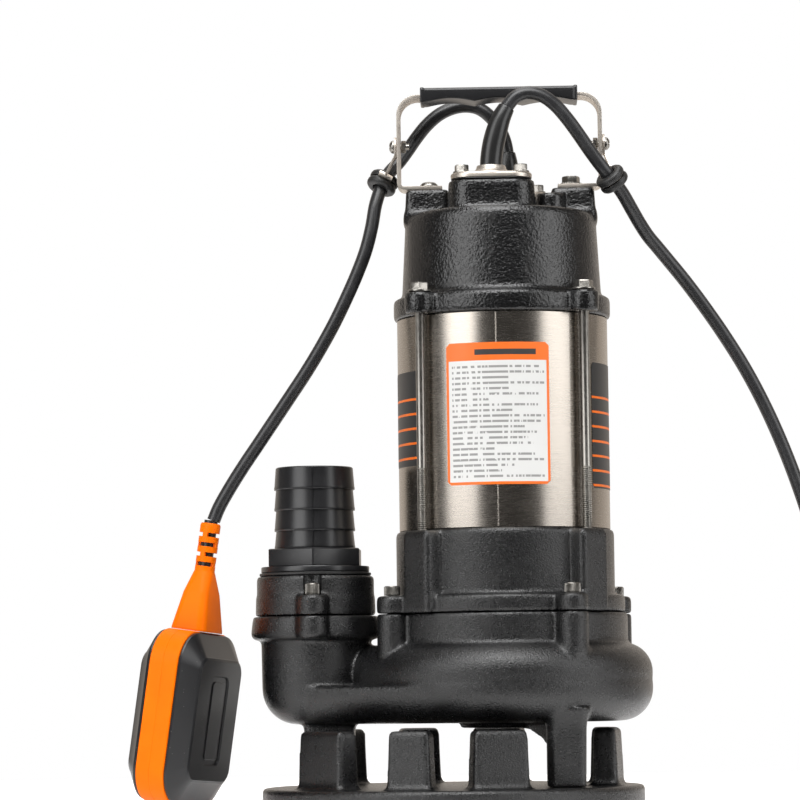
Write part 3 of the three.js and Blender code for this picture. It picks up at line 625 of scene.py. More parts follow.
class PumpSizes(bpy.types.PropertyGroup):
    """Sizes of the modelled detail."""
    casting_voxel: length_property("Casting fineness", "Cell size that fillets the castings", 0.0013)
    edge_round: length_property("Edge round", "Bevel on machined and moulded edges", 0.0006)
    cord_diameter: length_property("Cord diameter", "Outer diameter of both cords", 0.0084)
    float_cord_length: length_property("Float cord", "Free length of the float's cord", 0.37)
    power_cord_length: length_property("Supply cord", "Free length of the supply cord", 6.0)
    hammer_lump: length_property("Hammer lump", "Size of the lumps in the cover's enamel", 0.0017)
    sand_lump: length_property("Sand lump", "Size of the grain of the cast enamel", 0.00095)


class PumpFinish(bpy.types.PropertyGroup):
    """Colours and glosses."""
    enamel: colour_property("Enamel", "Black enamel on the castings", (0.006, 0.006, 0.0065))
    steel: colour_property("Stainless", "Stainless sheet and bar", (0.4, 0.365, 0.325))
    zinc: colour_property("Zinc", "Plated screws, nuts and tie rods", (0.33, 0.315, 0.29))
    plastic: colour_property("Black plastic", "Float, grip and barb mouldings", (0.011, 0.011, 0.012))
    rubber: colour_property("Rubber", "Boots and grommets", (0.013, 0.013, 0.013))
    cord: colour_property("Cord jacket", "Jacket of both cords", (0.018, 0.018, 0.019))
    orange: colour_property("Orange", "Float band, boot and label edge", (0.86, 0.15, 0.0005))
    paper: colour_property("Label", "Label ground", (0.66, 0.66, 0.65))
    enamel_gloss: share_property("Enamel roughness", "Roughness of the castings", 0.27)


LOOKS = {}


def sizes():
    return bpy.context.scene.pump_sizes


def finishes():
    return bpy.context.scene.pump_finish


def make_finishes():
    """Builds every material once."""
    pick = finishes()
    size = sizes()
    rough = pick.enamel_gloss
    dark = (0.02, 0.02, 0.021)
    LOOKS.update({
        "casting": enamel("Cast Enamel", pick.enamel, size.sand_lump / MM, 0.36, rough),
        "cover": enamel("Hammered Enamel", pick.enamel, size.hammer_lump / MM, 0.42, rough - 0.03),
        "sleeve": brushed("Rolled Sleeve Steel", pick.steel, 0.26, (30, 30, 1), 0.3, 0.01),
        "sheet": brushed("Strap Steel", tint(pick.steel, 1.5), 0.42, (12, 12, 12), 0.5, 0.006),
        "zinc": plated("Zinc Plate", pick.zinc, 0.3),
        "steel": plated("Ground Steel", (0.6, 0.6, 0.6), 0.22),
        "lamination": brushed("Lamination Stack", (0.32, 0.32, 0.33), 0.4, (40, 40, 1), 0.5, 0.03),
        "copper": brushed("Enamelled Copper", (0.72, 0.3, 0.12), 0.3, (6, 6, 1), 0.8, 0.05),
        "ceramic": moulded("Seal Ceramic", (0.7, 0.68, 0.62), 0.3, 0.6, 0.004, 0.0),
        "capacitor": moulded("Capacitor Case", (0.75, 0.75, 0.72), 0.35, 0.6, 0.004, 0.0),
        "plastic": moulded("Satin Plastic", pick.plastic, 0.32, 0.45, 0.01, 0.3, Specular_IOR_Level=0.4),
        "barb": moulded("Barb Plastic", pick.plastic, 0.3, 0.6, 0.02, 0.15),
        "grip": moulded("Grip Plastic", pick.plastic, 0.3, 0.5, 0.012, 0.1),
        "rubber": moulded("Rubber", pick.rubber, 0.46, 0.7, 0.03, 0.2),
        "boot": moulded("Gland Rubber", pick.rubber, 0.3, 1.2, 0.01, 0.1),
        "cord": jacket("Cord Jacket", pick.cord, 0.34),
        "orange": moulded("Orange Plastic", pick.orange, 0.42, 0.6, 0.012, 0.03, Specular_IOR_Level=0.08),
        "dark": moulded("Dark Recess", dark, 0.6, 0.6, 0.01, 0.0),
        "label": rating_plate("Rating Label", pick.paper, tint(pick.orange, 0.9), dark, 194.4, 280.6),
        # Painted reflection: a dark sheet finish with orange stripes. It stands in for the dark reflection bands on
        # the stainless sleeve.
        "stripes": painted_reflection_band("Painted Reflection Band", dark, tint(pick.orange, 0.9), 212.0, 9.0, 0.16, 252.0),
    })


INNER_NODES = {
    "casting": ("impeller",), "zinc": ("impeller_nut",), "ceramic": ("seal_seat",),
    "steel": ("shaft", "seal_rotary_ring", "lower_bearing", "upper_bearing", "float_ball"),
    "lamination": ("rotor_core", "stator_core"), "copper": ("stator_winding",),
    "capacitor": ("run_capacitor",), "plastic": ("float_microswitch",),
}


def finish_frame_nodes():
    """Gives the frame's inner parts, which keep their own shape, their finishes."""
    for look, nodes in INNER_NODES.items():
        for node in nodes:
            mesh = bpy.data.objects[node].data
            count = max(1, len(mesh.materials))
            for index in range(count):
                if index < len(mesh.materials):
                    mesh.materials[index] = LOOKS[look]
                else:
                    mesh.materials.append(LOOKS[look])


# ---------------------------------------------------------------------------
# Stage: floor, lights and camera
# ---------------------------------------------------------------------------

EYE = Vector((0.0, -2.3, 0.0707))
AIM = Vector((-0.0641, 0.0, 0.2513))
ROLL = math.radians(-0.716)
LENS = 166.9


def soft_light(name, place, target, width, height, power, colour=(1, 1, 1)):
    """A rectangular soft box that faces a target."""
    data = bpy.data.lights.new(name, "AREA")
    data.shape = "RECTANGLE"
    data.size = width
    data.size_y = height
    data.energy = power
    data.color = colour
    lamp = bpy.data.objects.new(name, data)
    lamp.location = place
    lamp.rotation_euler = (Vector(target) - Vector(place)).to_track_quat("-Z", "Y").to_euler()
    bpy.context.scene.collection.objects.link(lamp)


def around(azimuth, distance, height):
    """A place at an azimuth from the front, positive towards the right-hand side."""
    angle = math.radians(azimuth)
    return distance * math.sin(angle), -distance * math.cos(angle), height


def make_world():
    """A white surround for the picture, over a dim warm room that the surfaces reflect."""
    world = bpy.data.worlds.new("Studio")
    bpy.context.scene.world = world
    world.use_nodes = True
    tree = world.node_tree
    coords = tree.nodes.new("ShaderNodeTexCoord")
    split = tree.nodes.new("ShaderNodeSeparateXYZ")
    level = tree.nodes.new("ShaderNodeMapRange")
    level.interpolation_type = "SMOOTHSTEP"
    for name, value in (("From Min", -0.1), ("From Max", 0.9), ("To Min", 0.02), ("To Max", 0.75)):
        level.inputs[name].default_value = value
    room = tree.nodes["Background"]
    room.inputs["Color"].default_value = (1, 0.9, 0.8, 1)
    white = tree.nodes.new("ShaderNodeBackground")
    white.inputs["Color"].default_value = (1, 1, 1, 1)
    path = tree.nodes.new("ShaderNodeLightPath")
    pick = tree.nodes.new("ShaderNodeMixShader")
    tree.links.new(coords.outputs["Generated"], split.inputs[0])
    tree.links.new(split.outputs[1], level.inputs["Value"])
    tree.links.new(level.outputs["Result"], room.inputs["Strength"])
    tree.links.new(path.outputs["Is Camera Ray"], pick.inputs[0])
    tree.links.new(room.outputs[0], pick.inputs[1])
    tree.links.new(white.outputs[0], pick.inputs[2])
    tree.links.new(pick.outputs[0], tree.nodes["World Output"].inputs["Surface"])


def make_floor():
    """A flat pale floor with a soft sheen, reaching behind the object."""
    look = Finish("Studio Floor", (0.86, 0.86, 0.86), 0.7, Specular_IOR_Level=0.1, Emission_Strength=0.5)
    look.put(look.shader.inputs["Emission Color"], (1, 1, 1))
    look.colour(look.mix(look.noise(400.0, 2.0), (0.84, 0.84, 0.84), (0.88, 0.88, 0.88)))
    corners = np.array([(-2400, -420, 0), (2400, -420, 0), (2400, 800, 0), (-2400, 800, 0)], float)
    floor = new_object("studio_floor", (corners, [(0, 1, 2, 3)]))
    floor.data.materials.append(look.material)


def make_camera():
    data = bpy.data.cameras.new("Camera")
    data.lens = LENS
    data.sensor_width = 36.0
    camera = bpy.data.objects.new("Camera", data)
    camera.location = EYE
    look = (AIM - EYE).to_track_quat("-Z", "Y").to_matrix()
    camera.rotation_euler = (look @ Matrix.Rotation(ROLL, 3, "Z")).to_euler()
    bpy.context.scene.collection.objects.link(camera)
    bpy.context.scene.camera = camera


class PUMP_OT_stage(bpy.types.Operator):
    """Set up the finishes, the pale floor, the studio light and the camera"""
    bl_idname = "pump.stage"
    bl_label = "Stage"

    def execute(self, context):
        make_finishes()
        finish_frame_nodes()
        make_camera()
        make_world()
        make_floor()
        soft_light("Left Soft Box", around(-46, 1.7, 0.92), (0, 0, 0.92), 1.05, 1.4, 17)
        soft_light("Right Soft Box", around(61, 1.7, 0.92), (0, 0, 0.92), 1.1, 1.4, 15)
        soft_light("Front Soft Box", (-0.1, -1.15, 1.75), (-0.06, 0, 0.25), 1.6, 1.0, 36)
        soft_light("Top Soft Box", (-0.1, 0, 1.7), (0, 0, 0.2), 1.5, 0.8, 12)
        context.scene.view_settings.view_transform = "Standard"
        return {"FINISHED"}


# ---------------------------------------------------------------------------
# Cords and plug
# ---------------------------------------------------------------------------

FLOAT_CORD_UPPER = [
    (4.9, 27, 409.2), (3.7, 27, 415.7), (0, 27, 425), (-6.2, 27, 433), (-12.8, 27, 437.8),
    (-20.3, 26.9, 439.4), (-28.4, 26.6, 438.4), (-37.4, 26, 434.4), (-45.4, 25, 427.6),
    (-52.2, 23.4, 419.2), (-58, 21.2, 410.6), (-63.6, 18.6, 402.8), (-69.2, 16, 396.5),
    (-73.5, 13, 389.3), (-75, 11.6, 385.4)]
FLOAT_CORD_LOWER = [
    (-78.2, 8.2, 374.6), (-80.6, 6, 360.9), (-84.4, 4.2, 345.9), (-90, 2.8, 331), (-97.7, 1.6, 313.8),
    (-105, 0.8, 299), (-113.3, 0.3, 284.2), (-122.4, 0, 269.4), (-132.3, 0, 254.7), (-142.4, 0, 239.9),
    (-152.5, 0, 225.1), (-162.6, 0, 210.4), (-171.6, 0, 196.2), (-177.6, 0, 185.6), (-181, 0, 177.6)]
POWER_CORD = [
    (4.9, -26.4, 430), (9.8, -26, 435.8), (17.5, -25.4, 438.8), (26.7, -24.6, 437), (34.8, -23.8, 431.2),
    (42.8, -23, 421.8), (49.3, -22.2, 412.6), (56.2, -22, 402.2), (63, -21.3, 392.8), (69.5, -17.5, 385.2),
    (75.6, -12.2, 377.6), (81.8, -6.5, 367.4), (86.7, -1.5, 359.4), (92, 3, 351.8), (98, 7, 345),
    (104.5, 10.5, 337.4), (114.6, 14.5, 325.2), (127, 17, 308.4), (140, 18.4, 289), (152.5, 19, 268),
    (164, 19, 245), (174.5, 18.4, 220), (184, 17, 193), (192.6, 15.2, 164), (200, 13, 134),
    (206.8, 10.4, 104), (213.6, 7.6, 76), (221.4, 5.2, 51), (230.4, 3.8, 34.6), (243, 2.9, 24.3)]
COIL_CENTRE = (283.0, 74.0)
COIL_LANES = (71.6, 63.2, 54.8, 46.4)
COIL_WELL = 37.6
PLUG_PLACE = (354.6, 112.3, 19.3)


def coil_line():
    """The supply cord's stored turns, from the front of the coil to the plug.

    The cord comes in on the outer lane of the third layer and winds inwards, then outwards on the
    second and inwards on the lowest. It climbs the well in the middle and winds out over the top.
    """
    outwards = COIL_LANES[::-1]
    stops = [(lane, 21.3) for lane in COIL_LANES] + [(lane, 12.9) for lane in outwards]
    stops += [(lane, 4.5) for lane in COIL_LANES]
    marks = []
    for number, (lane, height) in enumerate(stops):
        after = stops[number + 1] if number + 1 < len(stops) else (COIL_WELL, 8.0)
        for share in np.arange(0, 1, 0.05):
            t = min(1.0, max(0.0, (share - 0.72) / 0.28))
            ease = t * t * (3 - 2 * t)
            marks.append((number + share, lane + (after[0] - lane) * ease, height + (after[1] - height) * ease))
    last = len(stops)
    marks += [(last + share, COIL_WELL, 8.0 + 21.7 * share / 0.85) for share in np.arange(0, 0.86, 0.05)]
    for share in np.arange(0.95, 3.2, 0.05):
        marks.append((last + share, COIL_WELL + (COIL_LANES[0] - COIL_WELL) * min(1.0, (share - 0.85) / 2.25), 29.7))
    points = []
    for turn, radius, height in marks:
        angle = 2 * math.pi * (turn - 0.25)
        points.append((COIL_CENTRE[0] + radius * math.cos(angle),
                       COIL_CENTRE[1] + radius * math.sin(angle), height))
    x, y, z = PLUG_PLACE
    points += [(x + 1.4, y - 32, 29.0), (x + 3.6, y - 24, 26.6), (x + 3.8, y - 14, 22.9), (x + 1.6, y - 5.5, z + 0.6),
               (x, y - 0.3, z)]
    return points


def supply_route():
    """The whole supply cord: boot, arch, clip, fall, coil and plug."""
    return smooth_line(POWER_CORD + coil_line(), 3.0)


class PUMP_OT_float_cord(bpy.types.Operator):
    """Build the float's cord: rear boot, handle clip and down to the float"""
    bl_idname = "pump.float_cord"
    bl_label = "Float Cord"

    def execute(self, context):
        size = sizes()
        line = smooth_line(FLOAT_CORD_UPPER + FLOAT_CORD_LOWER, 2.0)
        cord = new_object("float_cord", tube(line, size.cord_diameter / MM / 2, 28))
        finish_piece(cord, LOOKS["cord"], None, ("float_cord_upper", "float_cord_lower"))
        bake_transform(cord)
        return {"FINISHED"}


def plug_solid():
    """A mains plug along +Z: ribbed relief, body with a grip waist, face and two pins."""
    profile = [(0, 0), (4.9, 0)]
    for rib in range(5):
        z = 3.5 + rib * 5.4
        grow = 0.75 * rib
        profile += [(5.6 + grow, z), (5.6 + grow, z + 2.6), (5.0 + grow, z + 3.0), (5.0 + grow, z + 5.0)]
    profile += [(11.2, 31.5), (13.8, 37.5), (14.6, 42.0), (14.2, 47.0), (15.2, 51.0), (18.4, 55.0),
                (19.0, 56.5), (19.0, 66.6), (18.0, 68.0), (0, 68.0)]
    return turned(profile, 64)


class PUMP_OT_supply_cord(bpy.types.Operator):
    """Build the supply cord with its stored coil and its mains plug"""
    bl_idname = "pump.supply_cord"
    bl_label = "Supply Cord and Plug"

    def execute(self, context):
        size = sizes()
        line = supply_route()
        cord = new_object("supply_cord", tube(line, size.cord_diameter / MM / 2, 24))
        finish_piece(cord, LOOKS["cord"], "root", ("power_cord", "power_cord_coil"))
        plug = new_object("mains_plug", plug_solid())
        bevel(plug, 0.4)
        for side in (-1, 1):
            boolean(plug, shifted(turned([(0, 65), (2.4, 65), (2.4, 85.4), (1.2, 87), (0, 87)], 32), side * 9.5),
                    "UNION")
            groove = shifted(block(-3.5, 3.5, -30, -13.2, 48, 51), 0)
            boolean(plug, spun(groove, 90 * side))
        lay = Matrix.Translation(PLUG_PLACE) @ Matrix.Rotation(-math.pi / 2, 4, "X")
        plug.data.transform(Matrix.Scale(MM, 4) @ lay @ Matrix.Scale(1 / MM, 4))
        finish_piece(plug, LOOKS["rubber"], "root", ("power_plug",))
        return {"FINISHED"}


# ---------------------------------------------------------------------------
# Castings
# ---------------------------------------------------------------------------

BASE_X = -34.0
POSTS = ((-50, 42), (-14, 27), (17, 35), (78, 26), (102, 26), (163, 35), (-166, 27), (-130, 42))
LEGS = ((-110, 0, 30, 26), (36, -67, 21, 20), (36, 67, 21, 20))
OUTLET_X = -118.0
OUTLET_LUGS = ((OUTLET_X, -38.0), (OUTLET_X, 38.0))
CASE_LUGS = [(80 * math.cos(math.radians(a)), 80 * math.sin(math.radians(a))) for a in (-60, 30, 120, 210)]
TIES = ((50, 50), (-50, 50), (-50, -50), (50, -50))
FLANGE_TOP = 128.5
SLEEVE_LOW = 168.7
SLEEVE_TOP = 300.0
SLEEVE_R = 65.3


def socket_screw(radius, z0, z1, x, y):
    """A socket-head cap screw: knurled head, chamfered rim and a hexagonal socket."""
    rings = []
    for z, grow in ((z0, -0.15), (z0 + 0.4, 0.0), (z1 - 0.7, 0.0), (z1, -0.7)):
        angles = 2 * math.pi * np.arange(72) / 72
        knurl = radius + grow + (0.14 * np.cos(angles * 36) if -0.2 < grow < 0.1 else 0.0)
        rings.append(np.column_stack([x + knurl * np.cos(angles), y + knurl * np.sin(angles), np.full(72, z)]))
    return rings_solid(rings)


class PUMP_OT_strainer_base(bpy.types.Operator):
    """Build the strainer base: round foot plate with cast posts"""
    bl_idname = "pump.strainer_base"
    bl_label = "Strainer Base"

    def execute(self, context):
        plate = stack([(BASE_X, 0, 118)], [(0.2, 1.2), (1.4, 0.2), (2.6, 0), (9.4, 0.2)] + round_head(12, 2.6, 5), 160)
        posts = []
        for angle, width in POSTS:
            outline = rounded_rect(0, -97, width / 2, 8, 2.5)
            levels = [(9, -2.6), (12.0, -2.2), (13.2, -0.9), (15.0, 0.0), (44.6, 1.2), (46.4, 1.9), (47.0, 3.2)]
            posts.append(shifted(spun(stack(outline, levels, 40), angle), BASE_X))
        pads = [stack(rounded_rect(x, y, w / 2 + 3, d / 2 + 3, 6), [(9, -1.5), (12, -1.2), (12.1, 0.0)], 40)
                for x, y, w, d in LEGS]
        base = cast("strainer_base_casting", [plate] + posts + pads, voxel=sizes().casting_voxel / MM,
                    trims=[block(-200, 100, -150, 150, -5, 0.1)],
                    cutters=[stack(rounded_rect(x, y, w / 2 + 0.4, d / 2 + 0.4, 4), [(12.05, 0), (16, 0)], 40)
                             for x, y, w, d in LEGS])
        finish_piece(base, LOOKS["casting"], "root", ("strainer_base",))
        return {"FINISHED"}


def scroll_solids():
    """The overlapping solids of the pump casing, before fillets."""
    lower = stack([(OUTLET_X, 0, 31), (0, 0, 90)], round_foot(51, 20, 10) + [(74, 0)], 160)
    upper = stack([(-42, 4, 60), (0, 0, 90)], [(71, 3), (74, 0.5)] + round_head(99, 18, 10), 160)
    elbow = stack([(OUTLET_X, 0, 33.5)], round_foot(51, 22, 10) + [(104, -0.4)], 96)
    collar = rod(75, 92, 117.5, sides=128)
    flange = stack([(OUTLET_X, 0, 38.8)], [(103, 0.6), (105.3, -1.0), (106.6, -1.4), (117.5, 0)], 96)
    solids = [lower, upper, elbow, collar, flange]
    solids += [stack([(x, y, 9.5)], [(103, 1.2), (105.3, -0.6), (117.5, 0)], 40) for x, y in OUTLET_LUGS]
    solids += [stack([(x, y, 9.5)], [(88, 3), (92, 0), (117.5, 0)], 40) for x, y in CASE_LUGS]
    for x, y, width, depth in LEGS:
        levels = [(12.3, -1.2), (14, 0), (48, -0.6), (54, -1.6), (60, -3.0)]
        solids.append(stack(rounded_rect(x, y, width / 2, depth / 2, 3.5), levels, 40))
    x, y, width, depth = LEGS[1]
    solids.append(block(x - width / 2 - 2.4, x - width / 2 + 3, y - depth / 2 + 3, y + depth / 2 - 2, 12.3, 54))
    solids.append(rod(29, 47.5, 56, sides=96))
    rib = prism([(20, 56), (68, 56), (68, 34), (61, 34), (50, 41), (34, 46.5), (20, 47.5)], -4, 4)
    solids.append(spun(rib, -62))
    return solids


class PUMP_OT_pump_casing(bpy.types.Operator):
    """Build the pump casing: scroll, elbow, outlet flange, inlet ring and legs"""
    bl_idname = "pump.pump_casing"
    bl_label = "Pump Casing"

    def execute(self, context):
        trims = [block(-200, 130, -120, 120, 117.5, 125), block(-200, 130, -120, 120, 5, 12.3)]
        cutters = [rod(72, 60, 94, sides=96), rod(62, 93, 118, sides=96), rod(24, 46, 61, sides=96),
                   turned([(0, 47), (27.4, 47), (24, 50.4), (24, 51), (0, 51)], 96),
                   rod(25, 60, 118, OUTLET_X, 0, 72), block(OUTLET_X, -40, -18, 18, 60, 90)]
        cutters += [rod(3.3, 107, 118, x, y, 24) for x, y in list(CASE_LUGS) + list(OUTLET_LUGS)]
        casing = cast("pump_casing_casting", scroll_solids(), cutters, sizes().casting_voxel / MM, 8, trims)
        finish_piece(casing, LOOKS["casting"], "root", ("pump_casing",))
        return {"FINISHED"}


class PUMP_OT_oil_chamber(bpy.types.Operator):
    """Build the oil chamber housing that joins the pump casing to the motor"""
    bl_idname = "pump.oil_chamber"
    bl_label = "Oil Chamber Housing"

    def execute(self, context):
        low = 117.8
        flange = stack([(0, 0, 73.6)], [(low, 0), (126.6, 0), (127.8, 0.4), (128.5, 1.4)], 128)
        body = turned([(0, low), (67.5, low), (67.5, 166.4), (66.4, 168.7), (0, 168.7)], 128)
        solids = [flange, body]
        for angle in (45, 135, 225, 315):
            rib = stack(rounded_rect(66.5, 0, 11.5, 11.5, 3), [(low, 0), (164.6, 0), (167.7, 1.6)], 40)
            solids.append(spun(rib, angle))
        solids += [stack([(x, y, 9.5)], [(low, 0), (126.6, 0), (128.5, 1.2)], 48) for x, y in CASE_LUGS]
        trims = [block(-120, 120, -120, 120, 110, low), block(-120, 120, -120, 120, 168.7, 175)]
        cutters = [rod(54, 121, 152, sides=64), rod(12, 119, 170, sides=48), rod(20.3, 158, 170, sides=64)]
        cutters += [rod(3.3, 117, 130, x, y, 24) for x, y in CASE_LUGS]
        cutters += [rod(3.4, 149, 170, x, y, 24) for x, y in TIES]
        cutters += [stack([(x, y, 8.2)], [(128.6, 0), (134, 0)], 48) for x, y in CASE_LUGS]
        housing = cast("oil_chamber_casting", solids, cutters, sizes().casting_voxel / MM, 5, trims)
        spigot = turned([(60, 160), (63.5, 160), (63.5, 175.7), (60, 175.7)], 96)
        boolean(housing, spigot, "UNION")
        plug = turned([(14.3, 108), (61.7, 108), (61.7, 119), (14.3, 119)], 96)
        boolean(housing, plug, "UNION")
        finish_piece(housing, LOOKS["casting"], "root", ("oil_chamber_housing",))
        return {"FINISHED"}


class PUMP_OT_casting_screws(bpy.types.Operator):
    """Build the socket screws of the pump casing and of the outlet flange"""
    bl_idname = "pump.casting_screws"
    bl_label = "Casting Screws"

    def execute(self, context):
        places = [("casing_screw", x, y, 128.8, 134.5, 4.8) for x, y in CASE_LUGS]
        places += [("flange_screw", x, y, 130.3, 137.0, 4.3) for x, y in OUTLET_LUGS]
        for index, (name, x, y, low, high, radius) in enumerate(places):
            number = index + 1 if index < len(CASE_LUGS) else index - len(CASE_LUGS) + 1
            node = f"{name}_{number}"
            screw = merged(node + "_socket", socket_screw(radius, low, high, x, y), rod(3, 108, low + 1, x, y, 24))
            boolean(screw, spun(hexagon(5.0, high - 3.4, high + 1.0, x, y), 12 * index, x, y))
            finish_piece(screw, LOOKS["zinc"], "root", (node,))
        return {"FINISHED"}


# ---------------------------------------------------------------------------
# Motor sleeve, tie rods and top cover
# ---------------------------------------------------------------------------

def wrapped_sheet(from_angle, to_angle, low, high, thick=0.18, corner=2.5):
    """A thin sheet wrapped on the sleeve between two angles from the front, with rounded corners."""
    radius = SLEEVE_R + 0.05
    width = math.radians(to_angle - from_angle) * radius
    tall = high - low
    outline = circle_outline(rounded_rect(width / 2, tall / 2, width / 2, tall / 2, corner), 0, 120)
    dense = []
    for k in range(len(outline)):
        a, b = outline[k], outline[(k + 1) % len(outline)]
        count = max(1, int(np.linalg.norm(b - a) / 2.0))
        dense += [a + (b - a) * i / count for i in range(count)]
    columns = 28
    edges = np.array(dense)
    xs = np.linspace(edges[:, 0].min(), edges[:, 0].max(), columns + 1)
    xs[0] += 0.02
    xs[-1] -= 0.02
    lows, highs = [], []
    for x in xs:
        inside_x = min(x, width - x)
        drop = corner - math.sqrt(max(0.0, corner ** 2 - max(0.0, corner - inside_x) ** 2))
        lows.append(drop)
        highs.append(tall - drop)
    rings = []
    for k, x in enumerate(xs):
        angle = math.radians(from_angle) + x / radius
        ring = []
        for r in (radius, radius + thick):
            ends = (lows[k], highs[k]) if r == radius else (highs[k], lows[k])
            ring += [(r * math.sin(angle), -r * math.cos(angle), low + z) for z in ends]
        rings.append(np.array(ring))
    return rings_solid(rings)


class PUMP_OT_motor_sleeve(bpy.types.Operator):
    """Build the stainless motor sleeve with its weld seam, rating label and two dark sheets of painted reflection on
    its sides
    """
    bl_idname = "pump.motor_sleeve"
    bl_label = "Motor Sleeve"

    def execute(self, context):
        outer, inner = SLEEVE_R, SLEEVE_R - 1.5
        profile = [(inner, SLEEVE_LOW), (outer - 0.3, SLEEVE_LOW), (outer, SLEEVE_LOW + 0.3),
                   (outer, SLEEVE_TOP - 0.6), (outer - 0.3, SLEEVE_TOP - 0.3), (inner, SLEEVE_TOP - 0.3)]
        sleeve = new_object("motor_sleeve_tube", turned(profile, 192))
        boolean(sleeve, spun(stack([(0, 0.42 - SLEEVE_R, 0.55)], [(SLEEVE_LOW + 0.6, 0), (SLEEVE_TOP - 1, 0)], 16), -3.4),
                "UNION")
        finish_piece(sleeve, LOOKS["sleeve"], "root", ("motor_sleeve",))
        label = new_object("rating_label", wrapped_sheet(-31.4, 25.4, 194.4, 280.6))
        finish_piece(label, LOOKS["label"])
        # Two dark sheets of painted reflection, one on each side of the sleeve, where the steel shows dark reflection
        # bands.
        side = new_object("side_sticker", wrapped_sheet(-86, -52, 208.0, 266.0))
        finish_piece(side, LOOKS["stripes"])
        patch = new_object("corner_sticker", wrapped_sheet(56, 96, 193.0, 270.0))
        finish_piece(patch, LOOKS["stripes"])
        return {"FINISHED"}


def threaded_rod(radius, z0, z1, x, y, thread_from, thread_to, pitch=1.25):
    """A rod with rolled thread ridges along part of its length."""
    rings = [(z0, 0.4), (z0 + 0.4, 0.0)]
    z = max(z0 + 0.6, thread_from)
    while z < min(thread_to, z1) - pitch:
        rings += [(z, 0.0), (z + 0.35 * pitch, 0.42), (z + 0.5 * pitch, 0.42), (z + 0.85 * pitch, 0.0)]
        z += pitch
    rings += [(z + 0.2, 0.1), (z1, 0.1)]
    return stack([(x, y, radius)], rings, 32)


class PUMP_OT_tie_rods(bpy.types.Operator):
    """Build the four tie rods with their washers and hexagon heads"""
    bl_idname = "pump.tie_rods"
    bl_label = "Tie Rods"

    def execute(self, context):
        for index, (x, y) in enumerate(TIES):
            shaft = threaded_rod(3.0, 150, 314, x, y, 150, 206)
            washer = turned([(0, 313.3), (6.7, 313.3), (7.0, 313.6), (7.0, 314.3), (6.7, 314.6), (0, 314.6)], 48, x, y)
            head = hexagon(10.2, 314.5, 319.0, x, y, 14 + 37 * index)
            rod_piece = merged(f"tie_rod_{index + 1}_bolt", shaft, washer, head)
            bevel(rod_piece, 0.22, 2, 50)
            finish_piece(rod_piece, LOOKS["zinc"], "root", (f"tie_rod_{index + 1}",))
        return {"FINISHED"}


class PUMP_OT_top_cover(bpy.types.Operator):
    """Build the hammered top cover with its handle and gland bosses"""
    bl_idname = "pump.top_cover"
    bl_label = "Top Cover"

    def execute(self, context):
        shell = turned([(0, 300), (66.4, 300), (67.3, 300.9), (67.3, 311.6), (65.8, 313), (63.4, 313.2),
                        (61.9, 315.4), (59.4, 361.2), (58.4, 364.0), (56.2, 365.5), (0, 365.5)], 160)
        solids = [shell]
        solids += [stack([(x, y, 9.2)], [(300, 0.6), (301, 0), (311.8, 0), (313, 0.9)], 48) for x, y in TIES]
        for side in (-1, 1):
            boss = rounded_rect(side * 45.25, 0, 13.75, 13, 3.5)
            solids.append(stack(boss, [(360, -1.6), (366, -1.2), (369, -0.2), (380.4, 0.5), (381.5, 1.2)], 48))
        for x, y, top in ((-5.3, -27, 384), (5.2, 27, 378)):
            oval = [(x - 13, y, 13.6), (x + 13, y, 13.6)]
            solids.append(stack(oval, [(358, -1.8), (366, -1.2), (369, -0.4), (top - 1, 0), (top, 0.9)], 72))
        solids.append(stack([(31, -14, 9)], [(360, -1.0), (367, 0), (376, 0), (377, 0.8)], 48))
        cutters = [turned([(0, 299), (54, 299), (54, 357), (0, 357)], 96)]
        cutters += [rod(3.4, 299, 314, x, y, 24) for x, y in TIES]
        cutters += [stack([(x, y, 7.6)], [(313.05, 0), (320, 0)], 48) for x, y in TIES]
        cutters += [rod(5, 356, 390, x, y, 32) for x, y in ((-5.3, -27), (5.2, 27))]
        cutters += [rod(3.3, 368, 383, side * 44.3, 0, 24) for side in (-1, 1)]
        trims = [block(-90, 90, -90, 90, 290, 300)]
        cover = cast("top_cover_casting", solids, cutters, sizes().casting_voxel / MM, 5, trims)
        boolean(cover, turned([(60, 293), (63.5, 293), (63.5, 302), (60, 302)], 96), "UNION")
        for solid in [rod(23.5, 302, 315, sides=48)] + [
                spun(block(20, 57, -4, 4, 303, 311), angle) for angle in (30, 150, 270)]:
            boolean(cover, solid, "UNION")
        boolean(cover, rod(17.8, 301, 316, sides=48))
        finish_piece(cover, LOOKS["cover"], "root", ("top_cover",))
        return {"FINISHED"}


# ---------------------------------------------------------------------------
# Handle, glands and cord clips
# ---------------------------------------------------------------------------

STRAP = {"half": 64.0, "thick": 2.2, "width": 9.5, "foot": 36.0, "top": 441.4, "bend": 13.0, "heel": 4.5}
SCREW_X = 44.3
BOSS_TOP = 381.5
CLIP_Z = 410.0
FRONT_BOOT = [(-5.3, -27, 385), (-5.2, -27, 396), (-3.8, -27, 406), (-1.2, -26.9, 416), (1, -26.8, 422.5),
              (4.85, -26.4, 429.9)]
REAR_BOOT = [(5.2, 27, 379), (5.3, 27, 388), (5.3, 27, 398), (4.9, 27, 409.1)]


def arc(cx, cz, radius, start, end, count=12):
    """Points (x, z) on an arc between two angles in degrees."""
    angles = np.radians(np.linspace(start, end, count))
    return [(cx + radius * math.cos(a), cz + radius * math.sin(a)) for a in angles]


def strap_outline(inset):
    """The strap's centre line offset inwards by a distance, from the right foot to the left one."""
    low = BOSS_TOP + 0.3
    half, bend, heel, top, foot = (STRAP[k] for k in ("half", "bend", "heel", "top", "foot"))
    line = [(foot, low + inset)]
    line += arc(half - heel, low + heel, heel - inset, -90, 0, 8)
    line += arc(half - bend, top - bend, bend - inset, 0, 90)
    line += arc(bend - half, top - bend, bend - inset, 90, 180)
    line += arc(heel - half, low + heel, heel - inset, 180, 270, 8)
    line += [(-foot, low + inset)]
    return line


